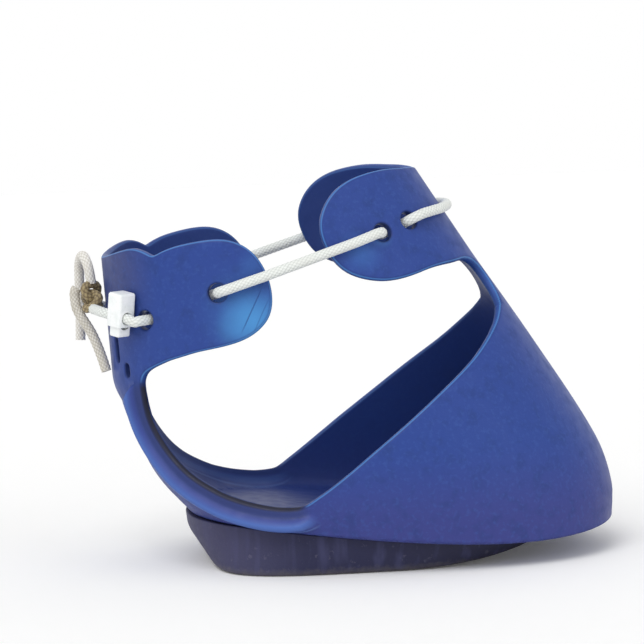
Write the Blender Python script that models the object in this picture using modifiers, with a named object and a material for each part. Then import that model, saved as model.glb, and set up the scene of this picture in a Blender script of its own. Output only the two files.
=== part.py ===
# Cord-laced hoof boot: a moulded shell on a wedge outsole, with a front tongue and a heel
# strap that each carry two lacing wings, one lace drawn through them, and a sprung cord lock.
# Metres, +Z up, +X to the toe, right side at -Y. The origin is on the ground under the sole.
import math

import bmesh
import bpy
from mathutils import Matrix, Vector

# Walls and clearances
wall = 0.0034
gap = 0.0003
overrun = 0.004

# Skin, the outer surface of the moulding: six stations from its lower edge to the collar's top
shell_half_width = 0.0600
base_heel_x = -0.0555
base_heel_z = 0.0202
base_toe_x = 0.1137
base_toe_z = 0.0121
base_belly = 0.0050
bumper_heel_out = 0.0105
bumper_heel_z = 0.0320
bumper_toe_out = 0.0003
bumper_toe_z = 0.0260
bumper_swell = 0.0010
bumper_belly = 0.0030
cap_heel_out = 0.0165
cap_heel_z = 0.0420
cap_toe_back = 0.0057
cap_toe_z = 0.0445
cap_belly = 0.0010
waist_heel_out = 0.0240
waist_heel_z = 0.0620
waist_toe_back = 0.0297
waist_toe_z = 0.0840
waist_draw_in = 0.0050
collar_heel_out = 0.0290
collar_heel_z = 0.0770
collar_toe_back = 0.0537
collar_toe_z = 0.1205
collar_draw_in = 0.0110
top_heel_out = 0.0315
top_heel_z = 0.1235
top_toe_back = 0.0757
top_toe_z = 0.1555
top_draw_in = 0.0170

# Rolled rim of the shell's low sides
rim_half_width = 0.0046
rim_half_depth = 0.0039
rim_sides = 10

# Outsole
sole_heel_inset = -0.0018
sole_heel_rake = 0.0096
sole_waist_share = 0.70
sole_waist_inset = 0.0006
sole_toe_x = 0.0900
sole_toe_rake = 0.0040
sole_top_half_width = 0.0545
sole_bottom_half_width = 0.0505
sole_edge_radius = 0.0018
rocker_start_x = 0.0200
rocker_radius = 0.3000
tread_wall = 0.0060
tread_rib = 0.0050
tread_depth = 0.0035
tread_start_x = -0.0380
tread_end_x = 0.0580

# Lace, its holes and the upright slots behind the heel
lace_radius = 0.0020
lace_bend = 0.0045
lace_clearance = 0.0004
lace_hole_radius = 0.0037
slot_half_width = 0.0016
lace_spacing = 0.0036

# Cord lock
lock_length = 0.0076
lock_depth = 0.0084
lock_height = 0.0132
lock_wall = 0.0009
lock_roof = 0.0012
lock_edge = 0.0007
lock_bore_radius = 0.0023
lock_bore_height = 0.0034
lock_clearance = 0.0002
lock_stand_off = 0.0009
lock_slide = 0.0060
plunger_travel = 0.0024
plunger_stick_out = 0.0040
plunger_crown = 0.0010
spring_wire_radius = 0.00025
spring_radius = 0.0019
spring_turns = 3

# Knot
knot_wire_radius = 0.0016
knot_size = 0.00185
knot_depth = 0.0026
knot_stand_off = 0.0010

station_shares = [0.0, 0.1, 0.2, 0.4, 0.6, 1.0]
heel_power_shares = [2.35, 2.35, 2.35, 2.3, 2.25, 2.2]
toe_power_shares = [2.5, 2.45, 2.4, 2.3, 2.2, 2.1]
stations = [
    (base_heel_x, base_heel_z, base_toe_x, base_toe_z, shell_half_width, base_belly),
    (base_heel_x - bumper_heel_out, bumper_heel_z, base_toe_x + bumper_toe_out, bumper_toe_z,
     shell_half_width + bumper_swell, bumper_belly),
    (base_heel_x - cap_heel_out, cap_heel_z, base_toe_x - cap_toe_back, cap_toe_z,
     shell_half_width, cap_belly),
    (base_heel_x - waist_heel_out, waist_heel_z, base_toe_x - waist_toe_back, waist_toe_z,
     shell_half_width - waist_draw_in, 0),
    (base_heel_x - collar_heel_out, collar_heel_z, base_toe_x - collar_toe_back, collar_toe_z,
     shell_half_width - collar_draw_in, 0),
    (base_heel_x - top_heel_out, top_heel_z, base_toe_x - top_toe_back, top_toe_z,
     shell_half_width - top_draw_in, 0),
]
stations = [
    (*row, heel_power, toe_power)
    for row, heel_power, toe_power in zip(stations, heel_power_shares, toe_power_shares)
]

# Places on the skin are degrees round from the toe and a share of its height
neck_share = 0.515
heel_neck_share = 0.500

# The shell's edge from the heel's middle to the toe's middle: degrees at the edge, share of
# the height there, degrees at the foot of that column, its bow to the heel, share of the rim
shell_edge_shares = [
    (180.0, heel_neck_share, 180.0, 0.0, 0.0),
    (172.0, heel_neck_share, 176.6, 0.8, 0.0),
    (164.0, heel_neck_share, 173.2, 1.4, 0.0),
    (157.0, heel_neck_share, 170.2, 2.2, 0.0),
    (151.5, heel_neck_share, 168.0, 3.2, 0.0),
    (152.6, 0.474, 167.1, 3.4, 0.2),
    (153.8, 0.448, 166.2, 2.7, 0.55),
    (155.2, 0.410, 164.6, 1.6, 0.85),
    (155.9, 0.365, 162.8, 0.0, 1.0),
    (155.2, 0.325, 160.8, 0.0, 1.0),
    (153.9, 0.285, 158.4, 0.0, 1.0),
    (152.0, 0.245, 155.8, 0.0, 1.0),
    (149.4, 0.203, 152.6, 0.0, 1.0),
    (146.2, 0.163, 148.8, 0.0, 1.0),
    (141.8, 0.128, 144.2, 0.0, 1.0),
    (137.2, 0.102, 139.0, 0.0, 1.0),
    (130.4, 0.083, 131.6, 0.0, 1.0),
    (121.8, 0.0745, 122.4, 0.0, 1.0),
    (114.5, 0.079, 114.8, 0.0, 1.0),
    (110.0, 0.101, 110.0, 0.0, 0.8),
    (105.8, 0.124, 105.8, 0.0, 0.5),
    (99.0, 0.170, 99.0, 0.0, 0.2),
    (92.6, 0.214, 92.6, 0.0, 0.0),
    (82.0, 0.281, 82.0, 0.0, 0.0),
    (72.1, 0.336, 72.6, 0.0, 0.0),
    (62.0, 0.375, 63.2, 0.0, 0.0),
    (52.0, 0.406, 54.0, 0.0, 0.0),
    (42.0, 0.431, 45.0, 0.0, 0.0),
    (36.3, 0.444, 39.6, 0.0, 0.0),
    (31.0, 0.453, 34.8, 0.0, 0.0),
    (26.5, 0.461, 30.4, 0.0, 0.0),
    (22.5, 0.469, 26.2, 0.0, 0.0),
    (18.8, 0.478, 22.2, 0.0, 0.0),
    (15.8, 0.489, 18.4, 0.0, 0.0),
    (13.4, 0.502, 14.8, 0.0, 0.0),
    (11.6, neck_share, 11.4, 0.0, 0.0),
    (7.8, neck_share, 7.6, 0.0, 0.0),
    (3.9, neck_share, 3.8, 0.0, 0.0),
    (0.0, neck_share, 0.0, 0.0, 0.0),
]

# The tongue and the heel strap, from their middles to their bends: degrees and share at the
# lower edge, degrees and share at the top
tongue_shares = [
    (0.0, neck_share, 0.0, 0.985),
    (3.9, neck_share, 2.6, 0.986),
    (7.8, neck_share, 5.2, 0.988),
    (11.6, neck_share, 7.8, 0.990),
    (10.4, 0.530, 9.8, 0.992),
    (10.2, 0.545, 12.0, 0.994),
    (11.6, 0.560, 14.4, 0.997),
    (14.6, 0.573, 17.2, 1.000),
    (18.6, 0.585, 20.4, 1.004),
    (23.0, 0.594, 23.8, 1.008),
    (27.0, 0.5975, 27.0, 1.012),
]
strap_shares = [
    (180.0, heel_neck_share, 180.0, 1.000),
    (172.0, heel_neck_share, 175.0, 1.001),
    (164.0, heel_neck_share, 170.0, 1.003),
    (157.0, heel_neck_share, 165.0, 1.006),
    (151.5, heel_neck_share, 160.0, 1.009),
    (150.0, 0.530, 155.5, 1.012),
    (149.0, 0.560, 151.0, 1.014),
    (147.6, 0.582, 147.2, 1.015),
    (145.0, 0.594, 143.6, 1.014),
    (141.0, 0.602, 140.0, 1.004),
    (137.0, 0.607, 136.6, 0.988),
    (133.5, 0.611, 133.5, 0.973),
]

# The wings from their bends to their tips: degrees, share at the lower edge, share at the top
heel_wing_shares = [
    (133.5, 0.611, 0.973),
    (128.0, 0.612, 0.981),
    (122.5, 0.613, 0.985),
    (117.0, 0.608, 0.983),
    (111.0, 0.603, 0.978),
    (106.0, 0.604, 0.968),
    (102.0, 0.615, 0.950),
    (99.0, 0.634, 0.924),
    (97.0, 0.657, 0.895),
    (95.6, 0.690, 0.861),
    (94.8, 0.728, 0.822),
    (94.5, 0.775, 0.775),
]
front_wing_shares = [
    (27.0, 0.5975, 1.012),
    (32.5, 0.603, 1.021),
    (38.0, 0.611, 1.030),
    (44.0, 0.617, 1.036),
    (50.0, 0.617, 1.038),
    (56.0, 0.620, 1.036),
    (61.0, 0.628, 1.026),
    (65.0, 0.642, 1.012),
    (68.5, 0.662, 0.991),
    (71.5, 0.686, 0.966),
    (73.8, 0.713, 0.938),
    (75.4, 0.745, 0.910),
    (76.4, 0.785, 0.875),
    (76.7, 0.830, 0.830),
]
strap_hole_shares = (141.6, 0.765)
heel_hole_shares = (110.7, 0.789)
front_hole_shares = (55.6, 0.807)
tongue_hole_shares = (41.9, 0.813)
slot_shares = [(164.6, 0.640, 0.730), (157.0, 0.585, 0.635)]
knot_shares = (180.0, 0.860)
lock_shares = (149.8, 0.790)
strand_shares = [(144.0, 0.776), (155.0, 0.806)]

shell_rows = 8
band_rows = 5
bow_share = 0.88
floor_ring_shares = [0.75, 0.45, 0.15]
sole_columns = 26
sole_top_power_shares = (2.4, 2.3)
sole_bottom_power_shares = (4.3, 2.3)
tread_rows = 6

right = -1
left = 1
sides = {"right": right, "left": left}

for thing in list(bpy.data.objects):
    bpy.data.objects.remove(thing, do_unlink=True)
parts = bpy.data.collections.new("hoof_boot")
cutters = bpy.data.collections.new("cutters")
bpy.context.scene.collection.children.link(parts)
bpy.context.scene.collection.children.link(cutters)


# The skin

def station_values(share):
    """Interpolate the stations: a smooth curve below the collar, straight lines up it."""
    last = len(stations) - 1
    steps = []
    for i in range(last):
        rise = station_shares[i + 1] - station_shares[i]
        steps.append([(b - a) / rise for a, b in zip(stations[i], stations[i + 1])])
    if share >= station_shares[last - 1]:
        rise = share - station_shares[last - 1]
        return [a + slope * rise for a, slope in zip(stations[last - 1], steps[-1])]
    i = max([k for k in range(last) if station_shares[k] <= share] or [0])
    span = station_shares[i + 1] - station_shares[i]
    u = (share - station_shares[i]) / span
    values = []
    for k, (a, b) in enumerate(zip(stations[i], stations[i + 1])):
        slope_a = steps[0][k]
        if i > 0:
            slope_a = (b - stations[i - 1][k]) / (station_shares[i + 1] - station_shares[i - 1])
        slope_b = steps[-1][k]
        if i + 1 < last - 1:
            slope_b = (stations[i + 2][k] - a) / (station_shares[i + 2] - station_shares[i])
        values.append(
            (2 * u**3 - 3 * u**2 + 1) * a + (3 * u**2 - 2 * u**3) * b
            + (u**3 - 2 * u**2 + u) * span * slope_a + (u**3 - u**2) * span * slope_b)
    return values


def power_curve(turn, power):
    return math.copysign(abs(turn) ** (2 / power), turn)


def belly_height(u, heel_z, toe_z, belly):
    """Height along a station, which dips most two thirds of the way to the toe."""
    return heel_z + (toe_z - heel_z) * u - belly * 27 / 4 * u * u * (1 - u)


def skin(angle, share, out=0):
    """Point of the skin, or of a surface that lies a distance outside it."""
    if out:
        return skin(angle, share) + skin_normal(angle, share) * out
    heel_x, heel_z, toe_x, toe_z, half_width, belly, heel_power, toe_power = station_values(share)
    along = math.cos(math.radians(angle))
    across = math.sin(math.radians(angle))
    power = toe_power if along > 0 else heel_power
    u = (1 + power_curve(along, power)) / 2
    return Vector((
        heel_x + (toe_x - heel_x) * u,
        half_width * power_curve(across, power),
        belly_height(u, heel_z, toe_z, belly),
    ))


def skin_across(angle, share):
    """How far the skin moves in one degree."""
    return skin(angle + 0.5, share) - skin(angle - 0.5, share)


def skin_up(angle, share):
    """How far the skin moves in one whole share of height."""
    return (skin(angle, share + 0.005) - skin(angle, share - 0.005)) * 100


def skin_normal(angle, share):
    return skin_across(angle, share).cross(skin_up(angle, share)).normalized()


def share_of(length, angle, share):
    return length / skin_up(angle, share).length


def degrees_of(length, angle, share):
    return length / skin_across(angle, share).length


def floor_height(x):
    """Height of the shell's underside, which the wedge's upper face follows."""
    u = (x - base_heel_x) / (base_toe_x - base_heel_x)
    return belly_height(u, base_heel_z, base_toe_z, base_belly)


def inset_edge(edge, distances):
    """Move a line of places sideways over the skin, down into the wall below it."""
    moved = []
    for i, (angle, share) in enumerate(edge):
        before = skin(*edge[max(i - 1, 0)])
        after = skin(*edge[min(i + 1, len(edge) - 1)])
        sideways = skin_normal(angle, share).cross(after - before).normalized()
        across = skin_across(angle, share)
        up = skin_up(angle, share)
        moved.append((
            angle + distances[i] * sideways.dot(across) / across.length_squared,
            share + distances[i] * sideways.dot(up) / up.length_squared,
        ))
    return moved


# Making and joining

def material(name, colour, roughness, metallic=0.0):
    made = bpy.data.materials.new(name)
    made.use_nodes = True
    shader = made.node_tree.nodes["Principled BSDF"]
    shader.inputs["Base Color"].default_value = (*colour, 1.0)
    shader.inputs["Roughness"].default_value = roughness
    shader.inputs["Metallic"].default_value = metallic
    return made


moulded = material("moulded_pvc", (0.045, 0.105, 0.42), 0.38)
sole_rubber = material("sole_pvc", (0.035, 0.04, 0.13), 0.6)
lace_white = material("braided_nylon", (0.82, 0.82, 0.80), 0.8)
lock_white = material("lock_plastic", (0.86, 0.87, 0.88), 0.35)
spring_steel = material("spring_steel", (0.6, 0.6, 0.62), 0.3, 1.0)


def link(name, data, surface=None, collection=None):
    made = bpy.data.objects.new(name, data)
    (collection or parts).objects.link(made)
    if surface:
        data.materials.append(surface)
    return made


def finish_mesh(bm, name):
    bmesh.ops.remove_doubles(bm, verts=bm.verts, dist=gap / 100)
    bmesh.ops.recalc_face_normals(bm, faces=bm.faces)
    mesh = bpy.data.meshes.new(name)
    bm.to_mesh(mesh)
    bm.free()
    mesh.shade_smooth()
    mesh.set_sharp_from_angle(angle=math.radians(40))
    return mesh


def grid_faces(bm, columns, closed=False):
    """Skin vertex columns of equal length with quads."""
    for i in range(len(columns) if closed else len(columns) - 1):
        one = columns[i]
        two = columns[(i + 1) % len(columns)]
        for j in range(len(one) - 1):
            bm.faces.new((one[j], two[j], two[j + 1], one[j + 1]))


def bare_cutter(name, bm):
    cutter = link(name, finish_mesh(bm, name), collection=cutters)
    cutter.hide_render = True
    cutter.display_type = "WIRE"
    return cutter


def boolean(target, tool, operation="DIFFERENCE"):
    modifier = target.modifiers.new(tool.name, "BOOLEAN")
    modifier.operation = operation
    modifier.solver = "EXACT"
    modifier.use_self = operation == "UNION"  # a steep heel wall can fold into itself near the strap
    modifier.object = tool


def frame_at(place, z_axis, upright):
    """Placement whose Z follows one direction and whose Y is as near as can be to another."""
    z = z_axis.normalized()
    x = upright.cross(z).normalized()
    turn = Matrix((x, z.cross(x), z)).transposed().to_4x4()
    return Matrix.Translation(place) @ turn


def box(bm, size, placement):
    made = bmesh.ops.create_cube(bm, size=1)["verts"]
    bmesh.ops.scale(bm, vec=size, verts=made)
    bmesh.ops.transform(bm, matrix=placement, verts=made)


def rod(bm, radius, length, placement, segments=20):
    bmesh.ops.create_cone(
        bm, cap_ends=True, segments=segments, radius1=radius, radius2=radius,
        depth=length, matrix=placement)


def slot(bm, half_width, low, high, length, placement):
    """Prism with round ends, from low to high along the placement's Y."""
    outline = []
    for end, height in ((1, high - half_width), (-1, low + half_width)):
        for step in range(7):
            turn = math.radians(30 * step)
            outline.append((
                end * half_width * math.cos(turn), height + end * half_width * math.sin(turn)))
    rings = [
        [bm.verts.new(placement @ Vector((x, y, depth))) for x, y in outline]
        for depth in (-length / 2, length / 2)
    ]
    grid_faces(bm, [[a, b] for a, b in zip(*rings)], closed=True)
    bm.faces.new(rings[0])
    bm.faces.new(rings[1])


def lace_hole(name, angle, share):
    bm = bmesh.new()
    place = frame_at(skin(angle, share, -wall / 2), skin_normal(angle, share), skin_up(angle, share))
    rod(bm, lace_hole_radius, wall + 2 * overrun, place)
    return bare_cutter(name, bm)


def upright_slot(name, angle, low, high):
    middle = (low + high) / 2
    reach = (skin(angle, high) - skin(angle, low)).length / 2
    bm = bmesh.new()
    place = frame_at(skin(angle, middle, -wall / 2), skin_normal(angle, middle), skin_up(angle, middle))
    slot(bm, slot_half_width, -reach, reach, wall + 2 * overrun, place)
    return bare_cutter(name, bm)


def column(low_angle, low, high_angle, high, rows):
    steps = [j / rows for j in range(rows + 1)]
    return [(low_angle + (high_angle - low_angle) * u, low + (high - low) * u) for u in steps]


def shell_column(foot, start, bow, angle, share):
    """Column that bows to the heel on its way up, or runs straight with no bow."""
    if not bow:
        return column(foot, start, angle, share, shell_rows)
    places = []
    for u in [j / shell_rows for j in range(shell_rows + 1)]:
        low, knee, high = (1 - u) ** 2, 2 * u * (1 - u), u**2
        places.append((
            low * foot + knee * (foot + bow) + high * angle,
            low * start + knee * bow_share * share + high * share))
    return places


def both_sides(columns):
    """Mirror columns that start on the middle line, and run them from side to side."""
    mirrored = [[(-angle, share) for angle, share in one] for one in columns[1:]]
    return mirrored[::-1] + columns


def band(name, columns):
    """Closed wall between the skin and its own depth below it, from columns of places."""
    bm = bmesh.new()
    loops = []
    for one in columns:
        outer = [bm.verts.new(skin(*place)) for place in one]
        inner = [bm.verts.new(skin(*place, -wall)) for place in one]
        loops.append(outer + inner[::-1])
    grid_faces(bm, [loop + loop[:1] for loop in loops])
    rows = len(columns[0])
    for loop in (loops[0], loops[-1]):
        if (loop[0].co - loop[rows - 1].co).length > gap:
            for j in range(rows - 1):
                bm.faces.new((loop[j], loop[j + 1], loop[2 * rows - 2 - j], loop[2 * rows - 1 - j]))
    return link(name, finish_mesh(bm, name), moulded)


def wing_column(angle, low, high):
    return column(angle, low, angle, high, band_rows)


def smooth_curve(route, spacing):
    """Points of a Catmull-Rom curve through a route's own points."""
    run = [2 * route[0] - route[1], *route, 2 * route[-1] - route[-2]]
    points = [route[0]]
    for i in range(1, len(run) - 2):
        a, b, c, d = run[i - 1:i + 3]
        steps = max(1, round((c - b).length / spacing))
        for u in [(step + 1) / steps for step in range(steps)]:
            points.append(0.5 * (
                2 * b + (c - a) * u + (2 * a - 5 * b + 4 * c - d) * u**2
                + (3 * b - a - 3 * c + d) * u**3))
    return points


def cord(name, points, radius, surface, closed=False, resolution=2):
    curve = bpy.data.curves.new(name, "CURVE")
    curve.dimensions = "3D"
    curve.bevel_depth = radius
    curve.bevel_resolution = resolution
    curve.use_fill_caps = not closed
    spline = curve.splines.new("POLY")
    spline.points.add(len(points) - 1)
    for point, place in zip(spline.points, points):
        point.co = (*place, 1)
    spline.use_cyclic_u = closed
    return link(name, curve, surface)


# The moulding

def shell_columns(start):
    """Columns of the shell's wall all the way round, from a depth above its lower edge."""
    edge = [(angle, share) for angle, share, _, _, _ in shell_edge_shares]
    rims = [row[-1] for row in shell_edge_shares]
    inner = inset_edge(edge, [rim_half_width * rim for rim in rims])
    columns = []
    for (angle, share), (edge_angle, edge_share, foot, bow, _) in zip(inner, shell_edge_shares):
        if edge_share in (neck_share, heel_neck_share):
            angle = edge_angle
            share = edge_share - share_of(gap / 2, edge_angle, edge_share)
        columns.append(shell_column(foot, share_of(start, foot, 0), bow, angle, share))
    return both_sides(columns[::-1])[:-1]


def rim_line():
    """Places of the rim's middle line on one side, with its share of the full rim."""
    edge = [(angle, share) for angle, share, _, _, _ in shell_edge_shares]
    rims = [row[-1] for row in shell_edge_shares]
    inner = inset_edge(edge, [rim_half_width * rim for rim in rims])
    return [(*place, rim) for place, rim in zip(inner, rims) if rim > 0]


def rim_bead(name, line, side):
    """Rolled rim: an ellipse swept along the shell's low edge, flush inside, proud outside."""
    bm = bmesh.new()
    rings = []
    lift = rim_half_depth - wall / 2 + gap / 3
    places = [skin(side * angle, share, rim * lift - wall / 2) for angle, share, rim in line]
    for i, (angle, share, rim) in enumerate(line):
        run = places[min(i + 1, len(places) - 1)] - places[max(i - 1, 0)]
        outward = skin_normal(side * angle, share)
        turned = frame_at(places[i], run, outward)
        ring = []
        for step in range(rim_sides):
            turn = 2 * math.pi * step / rim_sides
            ring.append(bm.verts.new(turned @ Vector((
                rim_half_width * rim * math.cos(turn), rim_half_depth * rim * math.sin(turn), 0))))
        rings.append(ring)
    grid_faces(bm, [ring + ring[:1] for ring in rings])
    bm.faces.new(rings[0])
    bm.faces.new(rings[-1])
    return bare_cutter(name, bm)


def floor_rings(bm, ring, lift):
    """Close a ring with smaller rings that follow the underside, raised by a height."""
    middle = (base_heel_x + base_toe_x) / 2
    first = ring
    for ring_share in floor_ring_shares:
        inner = []
        for corner in first:
            x = middle + (corner.co.x - middle) * ring_share
            inner.append(bm.verts.new((x, corner.co.y * ring_share, floor_height(x) + lift)))
        grid_faces(bm, [[a, b] for a, b in zip(inner, ring)], closed=True)
        ring = inner
    bm.faces.new(ring)


def make_shell():
    """Cup with the toe cap, low sides and heel counter: a wall all round and a floor."""
    bm = bmesh.new()
    outer_loops = [[bm.verts.new(skin(*place)) for place in one] for one in shell_columns(0)]
    inner_loops = [[bm.verts.new(skin(*place, -wall)) for place in one] for one in shell_columns(wall)]
    grid_faces(bm, [outer + inner[::-1] for outer, inner in zip(outer_loops, inner_loops)], closed=True)
    floor_rings(bm, [loop[0] for loop in outer_loops], 0)
    floor_rings(bm, [loop[0] for loop in inner_loops], wall)
    shell = link("boot_shell", finish_mesh(bm, "boot_shell"), moulded)
    for name, side in sides.items():
        boolean(shell, rim_bead("rim_" + name, rim_line(), side), "UNION")
    return shell


def make_middle(name, shares, neck):
    """The tongue or the heel strap, between its neck and its two bends."""
    columns = []
    for low_angle, low, high_angle, high in shares:
        if low == neck:
            low = neck + share_of(gap / 2, low_angle, neck)
        columns.append(column(low_angle, low, high_angle, high, band_rows))
    bend = shares[-1][0]
    middle = shares[0][0]
    trim = math.copysign(degrees_of(gap / 2, bend, 0.8), bend - middle)
    columns[-1] = [(angle - trim, share) for angle, share in columns[-1]]
    if middle == 180.0:
        mirrored = [[(360 - angle, share) for angle, share in one] for one in columns[1:]]
        return band(name, mirrored[::-1] + columns)
    return band(name, both_sides(columns))


def make_wing(name, shares, side, toward_toe):
    columns = [[(side * angle, share) for angle, share in wing_column(*row)] for row in shares]
    bend = shares[0][0]
    trim = degrees_of(gap / 2, bend, 0.8) * side * (-1 if toward_toe else 1)
    columns[0] = [(angle + trim, share) for angle, share in columns[0]]
    return band(name, columns)


# The outsole

def sole_half_width(u, half_width, powers):
    """Half width at a share of the way from the heel to the toe."""
    along = 2 * u - 1
    power = powers[1] if along > 0 else powers[0]
    return half_width * max(0, 1 - abs(along) ** power) ** (1 / power)


def rocker_height(x):
    run = max(0, x - rocker_start_x)
    return rocker_radius - math.sqrt(rocker_radius**2 - run**2)


def make_sole():
    """Wedge block, raked at the heel, flat on the ground and rocking up under the toe."""
    top_heel = base_heel_x + sole_heel_inset
    bottom_heel = top_heel + sole_heel_rake
    bottom_toe = sole_toe_x - sole_toe_rake
    bm = bmesh.new()
    loops = []
    for i in range(sole_columns + 1):
        u = (1 - math.cos(math.pi * i / sole_columns)) / 2
        top_x = top_heel + (sole_toe_x - top_heel) * u
        bottom_x = bottom_heel + (bottom_toe - bottom_heel) * u
        top_y = sole_half_width(u, sole_top_half_width, sole_top_power_shares)
        bottom_y = sole_half_width(u, sole_bottom_half_width, sole_bottom_power_shares)
        top_z = floor_height(top_x) - gap
        bottom_z = min(rocker_height(bottom_x), top_z - 3 * gap)
        waist_x = top_x + sole_waist_inset * (1 - 2 * u)
        waist_y = top_y * (1 - sole_waist_inset / sole_top_half_width)
        waist_z = bottom_z + (top_z - bottom_z) * sole_waist_share
        corners = [
            (top_x, -top_y, top_z), (top_x, top_y, top_z),
            (waist_x, waist_y, waist_z), (bottom_x, bottom_y, bottom_z),
            (bottom_x, -bottom_y, bottom_z), (waist_x, -waist_y, waist_z)]
        loops.append([bm.verts.new(corner) for corner in corners])
    grid_faces(bm, [loop + loop[:1] for loop in loops])
    sole = link("outsole", finish_mesh(bm, "outsole"), sole_rubber)
    bevel = sole.modifiers.new("lower_edge", "BEVEL")
    bevel.width = sole_edge_radius
    bevel.segments = 2
    bevel.limit_method = "ANGLE"
    bevel.angle_limit = math.radians(50)
    boolean(sole, tread_cutter(bottom_heel, bottom_toe))
    return sole


def tread_cutter(heel_x, toe_x):
    """Two columns of pockets under the sole, inside its outer wall."""
    pitch = (tread_end_x - tread_start_x + tread_rib) / tread_rows
    bm = bmesh.new()
    for row in range(tread_rows):
        low_x = tread_start_x + pitch * row
        high_x = low_x + pitch - tread_rib
        widths = [
            sole_half_width((x - heel_x) / (toe_x - heel_x), sole_bottom_half_width,
                            sole_bottom_power_shares)
            for x in (low_x, high_x)
        ]
        outer = min(widths) - tread_wall
        width = outer - tread_rib / 2
        top = rocker_height(low_x) + tread_depth
        for side in sides.values():
            place = Matrix.Translation((
                (low_x + high_x) / 2, side * (outer - width / 2), (top - overrun) / 2))
            box(bm, (high_x - low_x, width, top + overrun), place)
    return bare_cutter("tread", bm)


# The lace

def over():
    return lace_radius + lace_clearance


def under():
    return -(wall + lace_radius + lace_clearance)


def crossing(angle, share, side, inward):
    """Lace through a hole on its way to the toe, as two arcs across the wall."""
    rise = over() - under()
    full = math.acos(1 - rise / (2 * lace_bend))
    half_run = lace_bend * math.sin(full)
    points = []
    for part in (0, 0.4, 0.75, 1, 1.25, 1.6, 2):
        turn = full * min(part, 2 - part)
        run = half_run - lace_bend * math.sin(turn)
        drop = lace_bend * (1 - math.cos(turn))
        along = -run if part < 1 else run
        level = over() - drop if part <= 1 else under() + drop
        if not inward:
            level = over() + under() - level
        place = angle - degrees_of(along, angle, share)
        points.append(skin(side * place, share, level))
    return points


def on_skin(places, side, out):
    return [skin(side * angle, share, out) for angle, share in places]


def trim_ends(points, start, end):
    """Shorten the first and last steps of a line of points."""
    points = list(points)
    points[0] = points[0] + (points[1] - points[0]).normalized() * start
    points[-1] = points[-1] + (points[-2] - points[-1]).normalized() * end
    return points


def lace_piece(name, route, start=gap / 2, end=gap / 2):
    points = smooth_curve(route, lace_spacing)
    return cord(name, trim_ends(points, start, end), lace_radius, lace_white)


def lock_frame():
    """Placement of the lock's bore: Z runs along the strand to the toe, Y points up."""
    angle, share = lock_shares
    out = lock_depth / 2 + lock_stand_off
    ends = [skin(right * a, s, out) for a, s in strand_shares]
    return frame_at(skin(right * angle, share, out), ends[0] - ends[1], Vector((0, 0, 1)))


def knot_frame():
    angle, share = knot_shares
    out = knot_depth + knot_wire_radius + knot_stand_off
    return frame_at(skin(angle, share, out), skin_normal(angle, share), skin_up(angle, share))


# Routes of the lace: hand-chosen places as degrees and share, from the heel to the toe
heel_wing_inside = [(129.5, 0.770), (123.5, 0.777)]
heel_wing_outside = [(100.0, 0.792), (97.0, 0.793)]
side_span = [(94.6, 0.794), (76.9, 0.802)]
front_wing_outside = [(72.5, 0.803), (67.0, 0.804)]
front_run = [(34.0, 0.812), (27.0, 0.806), (20.0, 0.800), (10.0, 0.796), (0.0, 0.795)]
strap_inside = [(134.2, 0.766)]
back_left_run = [(168.0, 0.818), (160.0, 0.798), (152.5, 0.782)]
strap_entry = [
    (0.0016, 0.0047), (0.0003, 0.0034), (-0.0002, 0.0016), (-0.0004, -0.0006),
    (-0.0007, -0.0030), (-0.0017, -0.0051)]
knot_exit = (0.0069, -0.0038)
outer_tail = [
    (0.0, 0.0076, -0.0002), (-0.0002, 0.0100, 0.0000), (-0.0010, 0.0128, 0.0004),
    (-0.0030, 0.0152, 0.0010), (-0.0058, 0.0166, 0.0018), (-0.0090, 0.0160, 0.0026),
    (-0.0118, 0.0138, 0.0033), (-0.0136, 0.0104, 0.0037), (-0.0142, 0.0060, 0.0040),
    (-0.0143, 0.0010, 0.0043), (-0.0142, -0.0050, 0.0047), (-0.0140, -0.0110, 0.0052),
    (-0.0138, -0.0175, 0.0058)]
inner_tail = [
    (0.0, 0.0030, 0.0066), (0.0, 0.0000, 0.0067), (0.0003, -0.0032, 0.0064),
    (0.0008, -0.0064, 0.0052), (0.0016, -0.0098, 0.0034), (0.0026, -0.0134, 0.0016),
    (0.0038, -0.0172, 0.0002), (0.0050, -0.0212, -0.0010), (0.0060, -0.0252, -0.0020),
    (0.0068, -0.0288, -0.0028)]


def make_lock_strand():
    """Right strand: from the knot, straight through the lock, and in at the strap's hole."""
    bore = lock_frame()
    knot = knot_frame()
    angle, share = strap_hole_shares
    front = lock_length / 2 + gap
    back = lock_length / 2 + lock_slide + 2 * gap
    start = knot @ Vector((knot_exit[0], knot_exit[1], 0))
    straight = [bore @ Vector((0, 0, z)) for z in (-back, -back / 2, 0, front)]
    toward = (straight[0] - start) / 3
    entry = [
        skin(right * (angle + degrees_of(run, angle, share)), share, out)
        for run, out in strap_entry
    ]
    inside = on_skin([(angle - degrees_of(-2.4 * strap_entry[-1][0], angle, share), share)],
                     right, under())
    route = [start, start + toward, *straight, *entry, *inside, *on_skin(strap_inside, right, under())]
    return lace_piece("lace_back_right", route)


def make_left_strand():
    """Left strand: from the knot round the back and in at the strap's other hole."""
    start = knot_frame() @ Vector((-knot_exit[0], knot_exit[1], 0))
    run = on_skin(back_left_run, left, over())
    angle, share = strap_hole_shares
    through = crossing(angle, share, left, inward=True)
    return lace_piece("lace_back_left", [start, *run, *through, *on_skin(strap_inside, left, under())][:-1])


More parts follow.
